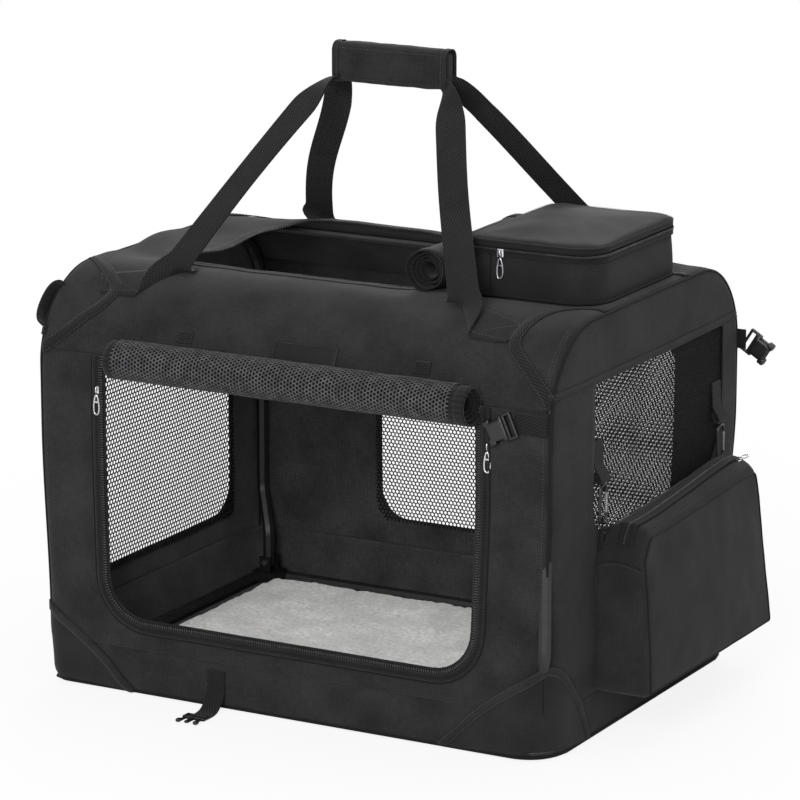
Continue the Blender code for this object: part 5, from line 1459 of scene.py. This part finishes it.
def sewn_end(end, side):
    """The webbing's end, folded over and sewn flat on the top cloth, with its box of stitches."""
    shift = FOLD_SHIFT[end, side]
    high = [Vector((side * (x + shift), s)) for x, s in ((0.178, 0.156), (0.235, 0.132), (0.2875, 0.110))]
    low = [Vector((side * (x + shift), s)) for x, s in ((0.224, 0.079), (0.248, 0.0775), (0.272, 0.079))]
    high, low = smooth_line(high, 8), smooth_line(low, 8)
    cloth = sheet_mesh("sewn_webbing", between(low, high, 8), lambda x, s: on_end(end, x, s, 0.0022), WEBBING,
                       levels=0, thickness=0.0020, flip=(side * end) > 0)
    box = [low[2].lerp(high[2], 0.12), low[14].lerp(high[14], 0.12), low[14].lerp(high[14], 0.88),
           low[2].lerp(high[2], 0.88), low[2].lerp(high[2], 0.12), low[14].lerp(high[14], 0.88)]
    flats = dense(box, 0.004)
    points = [on_end(end, flat.x, flat.y, 0.0025) for flat in flats]
    normals = [on_end(end, flat.x, flat.y, 0.003) - on_end(end, flat.x, flat.y, 0.0) for flat in flats]
    return [cloth, studs("sewn_stitches", points, normals, *LONG_STITCH)]


# Handle webbing at the front and the back: a leg from each end of the grip down to the top cloth, and its end
# sewn flat there
for name, end in (("front", -1), ("back", 1)):
    pieces, ends = [], []
    for side in (-1, 1):
        places, ways, widths = leg_places(end, side)
        pieces.append(ribbon(f"{name}_leg", places, ways, widths, 0.0022, WEBBING))
        ends += sewn_end(end, side)
    whole = joined(f"{name}_handle_webbing", pieces)
    dress(whole, "top", "webbing", f"{name}_handle_strap")
    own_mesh(whole)
    sewn = joined(f"{name}_sewn_webbing", ends)
    dress(sewn, "top", "webbing")


def grip_swell(share, place):
    """The wrap is fuller in its middle and creased by the hand."""
    full = 1 - share.x ** 4
    where = place / 0.02
    soft = noise.noise(where) * 0.0009
    return Vector((0.0, share.y * (0.0018 * full + soft), share.z * (0.0012 * full + soft)))


half = GRIP_SIZE / 2
grip_wrap = pillow("grip_wrap", GRIP_MIDDLE - half, GRIP_MIDDLE + half, 0.0105, OXFORD, grip_swell, 22)
pieces = [grip_wrap]
for side in (-1, 1):
    ring = [Vector((side * (half.x - 0.0035), GRIP_MIDDLE.y + place.x, GRIP_MIDDLE.z + place.y))
            for place in round_outline(-half.y - 0.0007, -half.z - 0.0007, half.y + 0.0007, half.z + 0.0007,
                                       [0.0105] * 4, corner=6, side=6)]
    ring.append(ring[0])
    pieces.append(ribbon("grip_binding", ring, [ACROSS] * len(ring), 0.0085, 0.0014, OXFORD_FINE))
    normals = [Vector((0.0, place.y, place.z - GRIP_MIDDLE.z)) for place in ring]
    moved = [place + Vector((-side * 0.0026, 0.0, 0.0)) + normal.normalized() * 0.0008
             for place, normal in zip(ring, normals)]
    pieces.append(studs("binding_stitches", moved, normals, (0.0028, 0.0007, 0.0006), 0.0010, THREAD))
for z in (GRIP_MIDDLE.z + half.z - 0.0055, GRIP_MIDDLE.z - half.z + 0.0050):
    line = [Vector((-half.x + 0.009 + (2 * half.x - 0.018) * step / 40, -half.y - 0.0012, z))
            for step in range(41)]
    pieces.append(studs("grip_stitches", line, [FRONT] * 41, (0.0032, 0.0008, 0.0008), 0.0011, THREAD))
grip = joined("padded_grip", pieces)
dress(grip, "grip", "oxford_cloth", "handle_grip")

# Narrow webbing for the buckles, the loop and the pouch tabs
NARROW = (0.025, 0.0019, WEBBING)
front_low, front_high = corners_of("front_buckle_strap")
y = -CURVE_Y - CURVE_R - 0.0016
z = (front_low.z + front_high.z) / 2
length = front_high.x - 0.002 - front_low.x
places = [Vector((front_low.x + length * step / 12, y - 0.0006 * math.sin(math.pi * step / 12), z))
          for step in range(13)]
front_strap = ribbon("front_buckle_webbing", places, [UP] * 13, *NARROW)
dress(front_strap, "top", "webbing", "front_buckle_strap")
back_low, back_high = corners_of("back_buckle_strap")
y = back_low.y + 0.0012
z = (back_low.z + back_high.z) / 2
places = [Vector((back_low.x + (back_high.x - back_low.x) * step / 12, y, z)) for step in range(13)]
back_strap = ribbon("back_buckle_webbing", places, [UP] * 13, *NARROW)
dress(back_strap, "top", "webbing", "back_buckle_strap")
route = ((-0.2618, 0.0500), (-0.2620, 0.034), (-0.2626, 0.024), (-0.2680, 0.0135), (-0.2780, 0.0045),
         (-0.2880, 0.0017), (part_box("bottom_buckle_strap")[0][1], 0.0014))
places = smooth_line([Vector((-0.104, y, z)) for y, z in route], 6)
low_strap = ribbon("bottom_buckle_webbing", places, [ACROSS] * len(places), *NARROW)
dress(low_strap, "root", "webbing", "bottom_buckle_strap")
low_place, high_place = on_side(-0.2505, 0.452, side=-1), on_side(-0.215, 0.497, side=-1)
chord = high_place - low_place
away = LEFT
across = chord.normalized().cross(away).normalized()
places = []
for step in range(41):
    angle = math.pi * (-0.06 + 1.12 * step / 40)
    share = 0.5 - 0.5 * math.cos(angle) * 1.05
    bulge = math.sin(angle) * 0.0165
    places.append(low_place + chord * share + away * (bulge - 0.0012) + across * 0.001 * math.sin(3 * angle))
loop = ribbon("left_webbing_loop", places, [across] * len(places), 0.023, 0.0028, WEBBING)
dress(loop, "top", "webbing", "left_loop")
for name in ("front", "rear"):
    tab_low, tab_high = corners_of(f"{name}_pouch_tab")
    middle_y = (tab_low.y + tab_high.y) / 2
    wall_x = tab_low.x + 0.0006
    route = ((wall_x, tab_high.z), (wall_x + 0.0008, tab_high.z - 0.020),
             (wall_x + 0.0020, tab_low.z + 0.020), (tab_high.x - 0.0016, tab_low.z + 0.008),
             (tab_high.x - 0.0026, tab_low.z + 0.0012),
             (wall_x + 0.0035, tab_low.z + 0.0030), (wall_x, tab_low.z + 0.014))
    places = smooth_line([Vector((x, middle_y, z)) for x, z in route], 7)
    tab = ribbon(f"{name}_tab_webbing", places, [BACK] * len(places), *NARROW)
    dress(tab, "right_frame", "webbing", f"{name}_pouch_tab")

# ---------------------------------------------------------------- moulded buckle halves


def moulded(name, boxes, start, along, normal, body, node):
    """A moulding of rounded bars and plates, set out from its strap bar along its length."""
    along = along.normalized()
    side = normal.cross(along).normalized()
    turned = Matrix((along, side, normal)).transposed().to_4x4()
    turned.translation = start
    pieces = []
    for low, high, radius in boxes:
        bar = pillow(f"{name}_bar", low, high, radius, ACETAL, cuts=6)
        bar.data.transform(turned)
        pieces.append(bar)
    dress(joined(name, pieces), body, "moulded_plastic", node)


SOCKET = [((-0.0015, -0.0155, -0.0022), (0.0020, 0.0155, 0.0022), 0.0014),
          ((0.0075, -0.0155, -0.0024), (0.0120, 0.0155, 0.0024), 0.0014),
          ((-0.0015, -0.0160, -0.0024), (0.0120, -0.0128, 0.0024), 0.0012),
          ((-0.0015, 0.0128, -0.0024), (0.0120, 0.0160, 0.0024), 0.0012),
          ((0.0105, -0.0118, 0.0026), (0.0330, 0.0118, 0.0056), 0.0014),
          ((0.0105, -0.0118, -0.0056), (0.0330, 0.0118, -0.0026), 0.0014),
          ((0.0105, -0.0030, -0.0050), (0.0290, 0.0030, 0.0050), 0.0010),
          ((0.0105, -0.0150, -0.0052), (0.0160, 0.0150, 0.0052), 0.0018),
          ((0.0270, -0.0155, -0.0054), (0.0360, -0.0072, 0.0054), 0.0020),
          ((0.0270, 0.0072, -0.0054), (0.0360, 0.0155, 0.0054), 0.0020)]
PLUG = [((-0.0015, -0.0150, -0.0018), (0.0020, 0.0150, 0.0018), 0.0012),
        ((0.0085, -0.0150, -0.0022), (0.0130, 0.0150, 0.0022), 0.0014),
        ((-0.0015, -0.0155, -0.0020), (0.0130, -0.0125, 0.0020), 0.0012),
        ((-0.0015, 0.0125, -0.0020), (0.0130, 0.0155, 0.0020), 0.0012),
        ((0.0120, -0.0024, -0.0016), (0.0300, 0.0024, 0.0016), 0.0010),
        ((0.0120, -0.0122, -0.0016), (0.0290, -0.0090, 0.0016), 0.0010),
        ((0.0120, 0.0090, -0.0016), (0.0290, 0.0122, 0.0016), 0.0010),
        ((0.0225, -0.0150, -0.0022), (0.0300, -0.0095, 0.0022), 0.0016),
        ((0.0225, 0.0095, -0.0022), (0.0300, 0.0150, 0.0022), 0.0016)]
low, high = corners_of("front_buckle")
middle = (low + high) / 2
tilt = math.radians(24)
moulded("front_socket_half", SOCKET, Vector((high.x + 0.001, middle.y - 0.001, middle.z)),
        Vector((-math.cos(tilt), 0.0, -math.sin(tilt))), FRONT, "front_buckle", "front_buckle")
low, high = corners_of("back_buckle")
middle = (low + high) / 2
tilt = math.radians(32)
moulded("back_socket_half", SOCKET, Vector((low.x - 0.001, middle.y, middle.z)),
        Vector((math.cos(tilt), 0.0, -math.sin(tilt))), FRONT, "back_buckle", "back_buckle")
low, high = corners_of("bottom_buckle")
middle = (low + high) / 2
moulded("low_plug_half", PLUG, Vector((middle.x, high.y, 0.0040)), Vector((0.0, -1.0, 0.03)),
        Vector((0.0, 0.03, 1.0)).normalized(), "bottom_buckle", "bottom_buckle")

# ---------------------------------------------------------------- seams, patches and piping

for end, back in (("front", False), ("back", True)):
    pieces = []
    for side in (-1, 1):
        line = []
        for step in range(71):
            z = BASE_Z + (SEAM_Z - BASE_Z) * step / 70
            line.append(on_front(side * CAP_HALF, z, 0.0008, back=back))
        pieces.append(tube(f"{end}_corner_piping", line, 0.0019, BINDING))
        flats = [Vector((side * (CAP_HALF - 0.0075), BASE_Z + (SEAM_Z - BASE_Z) * step / 100))
                 for step in range(101)]
        points, normals = laid(on_front, flats, 0.0003, back=back)
        pieces.append(studs(f"{end}_corner_stitches", points, normals, *LONG_STITCH))
    piping = joined(f"{end}_corner_piping", pieces)
    crumple(piping, "webbing")

# Cross seam between the top cloth and the front and back
start, stop = -CAP_HALF, CAP_HALF
for end, s in (("front", 0.0), ("back", CAP_LENGTH)):
    pieces = []
    flats = [Vector((start + (stop - start) * step / 120, s)) for step in range(121)]
    points, _ = laid(on_cap, flats, 0.0006)
    pieces.append(tube(f"{end}_cross_seam", points, 0.0015, OXFORD_FINE))
    shift = 0.0060 if s == 0 else -0.0060
    flats = [Vector((start + (stop - start) * step / 160, s + shift)) for step in range(161)]
    points, normals = laid(on_cap, flats, 0.0003)
    pieces.append(studs(f"{end}_cross_stitches", points, normals, *LONG_STITCH))
    allowance = [Vector((start + 0.004 + (stop - start - 0.008) * step / 90, SEAM_Z + 0.004))
                 for step in range(91)]
    pieces.append(strip(f"{end}_allowance", on_front, allowance, 0.026, -0.0040, OXFORD, levels=0,
                        back=end == "back"))
    seam = joined(f"{end}_cross_seam", pieces)
    dress(seam, "top", "webbing")


@bellied
def on_plan(d, z, out=0.0, side=1):
    """A place on the wall by its distance round the plan from the front's middle."""
    radius = corner_radius(z, side)
    flat = HALF_X - radius
    out = out - tuck(z)
    if d <= flat:
        return Vector((side * d, -HALF_Y - out, z))
    angle = (d - flat) / radius
    if angle <= QUARTER:
        return Vector((side * (flat + (radius + out) * math.sin(angle)),
                       -HALF_Y + radius - (radius + out) * math.cos(angle), z))
    rest = d - flat - radius * QUARTER
    return Vector((side * (HALF_X + out), -HALF_Y + radius + rest, z))


PATCH_TOP = ((0.206, 0.004), (0.222, 0.018), (0.253, 0.049), (0.290, 0.078), (0.335, 0.107), (0.345, 0.111),
             (0.360, 0.106), (0.380, 0.085), (0.404, 0.057), (0.420, 0.028), (0.431, 0.004))
for side, name in ((-1, "left"), (1, "right")):
    places = [Vector(place) for place in PATCH_TOP]
    if side < 0:
        places = [Vector((place.x + max(0.0, 0.345 - place.x) * 0.15, place.y * 0.87)) for place in places]
    crest = smooth_line(places, 5)
    rows = []
    for step in range(9):
        share = step / 8
        rows.append([(place.x + (0.325 - place.x) * 0.10 * share, 0.0006 + (place.y - 0.0006) * (1 - share))
                     for place in crest])
    cloth = sheet_mesh(f"{name}_patch", rows, lambda d, z, s=side: on_plan(d, z, 0.0022, side=s), OXFORD_FINE,
                       thickness=0.0012, flip=side > 0)
    band = strip(f"{name}_patch_band", on_plan, dense(crest, 0.008), 0.0115, 0.0028, OXFORD, side=side)
    pieces = [cloth, band]
    for shift in (-0.0040, 0.0040):
        points, normals = laid(on_plan, offset_line(dense(crest, 0.006), shift), 0.0030, side=side)
        pieces.append(studs("patch_stitches", points, normals, *LONG_STITCH))
    patch = joined(f"{name}_corner_patch", pieces)
    dress(patch, "root", "oxford_cloth")

# Reinforcing bands and sewn handle webbing on the top cloth's front curve
BANDS = (((-0.3470, 0.000), (-0.326, 0.0144), (-0.297, 0.0429), (-0.276, 0.0644), (-0.270, 0.0869),
          (-0.288, 0.1084), (-0.325, 0.1414), (-0.3470, 0.160)),
         ((0.3470, 0.194), (0.320, 0.191), (0.299, 0.167), (0.286, 0.123), (0.283, 0.079),
          (0.3135, 0.0464), (0.338, 0.024), (0.3470, 0.012)))
for index, route in enumerate(BANDS):
    ahead = dense(smooth_line([Vector((x, s)) for x, s in route], 6), 0.008)
    behind = [Vector((place.x, CAP_LENGTH - place.y)) for place in reversed(ahead)]
    pieces = []
    for line in (ahead, behind):
        pieces.append(strip("corner_band", on_cap, line, 0.0150, 0.0024, WEBBING))
        for shift in (-0.0060, 0.0060):
            points, normals = laid(on_cap, offset_line(line, shift), 0.0026)
            pieces.append(studs("band_stitches", points, normals, *LONG_STITCH))
    band = joined(("left", "right")[index] + "_corner_band", pieces)
    dress(band, "top", "webbing")

# Seam across each side over its window, with the fold of its cover
for side, name in ((-1, "left"), (1, "right")):
    flats = [Vector((-0.2565 + 0.513 * step / 120, 0.4460)) for step in range(121)]
    pieces = [strip(f"{name}_cover_edge", on_side, flats, 0.0070, 0.0024, OXFORD, side=side,
                    thickness=0.0022)]
    points, normals = laid(on_side, offset_line(flats, 0.0012), 0.0025, side=side)
    pieces.append(studs("cover_stitches", points, normals, *LONG_STITCH))
    seam = joined(f"{name}_cover_seam", pieces)
    dress(seam, f"{name}_frame", "oxford_cloth")

# Bottom edge piping round the whole crate
ring = base_ring(0.0046, 0.0010)
points = [place for place, _ in ring[:-1]]
foot = tube("foot_piping", points, 0.0021, BINDING, closed=True)
dress(foot, "root", "webbing")

# ---------------------------------------------------------------- zip sliders and their pulls


def axes_by_size(low, high):
    sizes = high - low
    order = sorted(range(3), key=lambda axis: sizes[axis])
    return order, sizes


def pull_ring(name, slider, body, shift):
    """A wire pull: a long teardrop loop, narrow at the slider and round at its free end."""
    low, high = corners_of(name)
    (thin, wide, long), sizes = axes_by_size(low, high)
    middle = (low + high) / 2 + shift
    slide_low, slide_high = corners_of(slider)
    toward = 1 if (slide_low[long] + slide_high[long]) / 2 > (low[long] + high[long]) / 2 else -1
    half_long, half_wide = sizes[long] / 2 - 0.0009, sizes[wide] / 2 + 0.0012
    line = []
    for step in range(48):
        angle = 2 * math.pi * step / 48
        run = math.cos(angle)
        reach = half_wide * (0.72 - 0.28 * run) * math.sin(angle)
        place = middle.copy()
        place[long] += toward * run * half_long
        place[wide] += math.copysign(abs(reach / half_wide) ** 0.75 * half_wide, reach)
        line.append(place)
    loop = tube(f"{name}_wire", line, 0.00125, NICKEL, closed=True)
    bar_low, bar_high = middle.copy(), middle.copy()
    for axis, size in ((thin, 0.0010), (wide, 0.46 * sizes[wide]), (long, 0.0013)):
        bar_low[axis] -= size
        bar_high[axis] += size
    inward = Vector()
    inward[long] = toward * half_long * 0.30
    bar = pillow(f"{name}_bar", bar_low + inward, bar_high + inward, 0.0006, NICKEL, cuts=4)
    ring = joined(f"{name}_ring", [loop, bar])
    dress(ring, body, "zip_metal", name)


def slider_body(name, body, outward, shift):
    """A die-cast slider: two rounded plates with the bridge that holds its pull."""
    low, high = (Vector(corner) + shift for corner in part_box(name))
    axis = max(range(3), key=lambda index: abs(outward[index]))
    sign = 1 if outward[axis] > 0 else -1
    sizes = high - low
    plate_low, plate_high = low.copy(), high.copy()
    if sign > 0:
        plate_high[axis] = low[axis] + 0.55 * sizes[axis]
    else:
        plate_low[axis] = high[axis] - 0.55 * sizes[axis]
    plate = pillow(f"{name}_plate", plate_low, plate_high, 0.0010, NICKEL, cuts=8)
    others = [index for index in range(3) if index != axis]
    long = max(others, key=lambda index: sizes[index])
    middle = (low + high) / 2
    line = []
    for step in range(17):
        angle = math.pi * step / 16
        place = middle.copy()
        base = plate_high[axis] if sign > 0 else plate_low[axis]
        place[axis] = base + sign * (0.42 * sizes[axis] * math.sin(angle) - 0.0003)
        place[long] += 0.36 * sizes[long] * math.cos(angle)
        line.append(place)
    bridge = tube(f"{name}_bridge", line, 0.0008, NICKEL)
    dress(joined(f"{name}_cast", [plate, bridge]), body, "zip_metal", name)


for zip_name, outward, shift in (("doorway_left", FRONT, Vector()), ("doorway_right", FRONT, Vector()),
                                 ("pocket", FRONT, Vector((0.0, 0.0, ZIP_RISE))),
                                 ("pouch", UP, Vector((0.008, -0.026, 0.0285)))):
    slider_body(f"{zip_name}_slider", f"{zip_name}_slider", outward, shift)
    pull_ring(f"{zip_name}_pull", f"{zip_name}_slider", f"{zip_name}_pull", shift)

# ---------------------------------------------------------------- hard pieces keep their solids

LOOKS = {
    POWDER: ("base_frame", "left_frame", "right_frame", "front_rod", "back_rod"),
    ACETAL: ("left_front_hinge", "left_back_hinge", "right_front_hinge", "right_back_hinge",
             "front_pouch_hook", "rear_pouch_hook", "front_pouch_ring", "rear_pouch_ring"),
    ZINC: ("left_front_hinge_pin", "left_back_hinge_pin", "right_front_hinge_pin", "right_back_hinge_pin",
           "front_hook_gate", "rear_hook_gate"),
    BOARD: ("base_board",),
}
for finish, names in LOOKS.items():
    for name in names:
        solid = bpy.data.objects.get(name)
        if solid:
            solid.data.materials.clear()
            solid.data.materials.append(finish)

low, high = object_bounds()
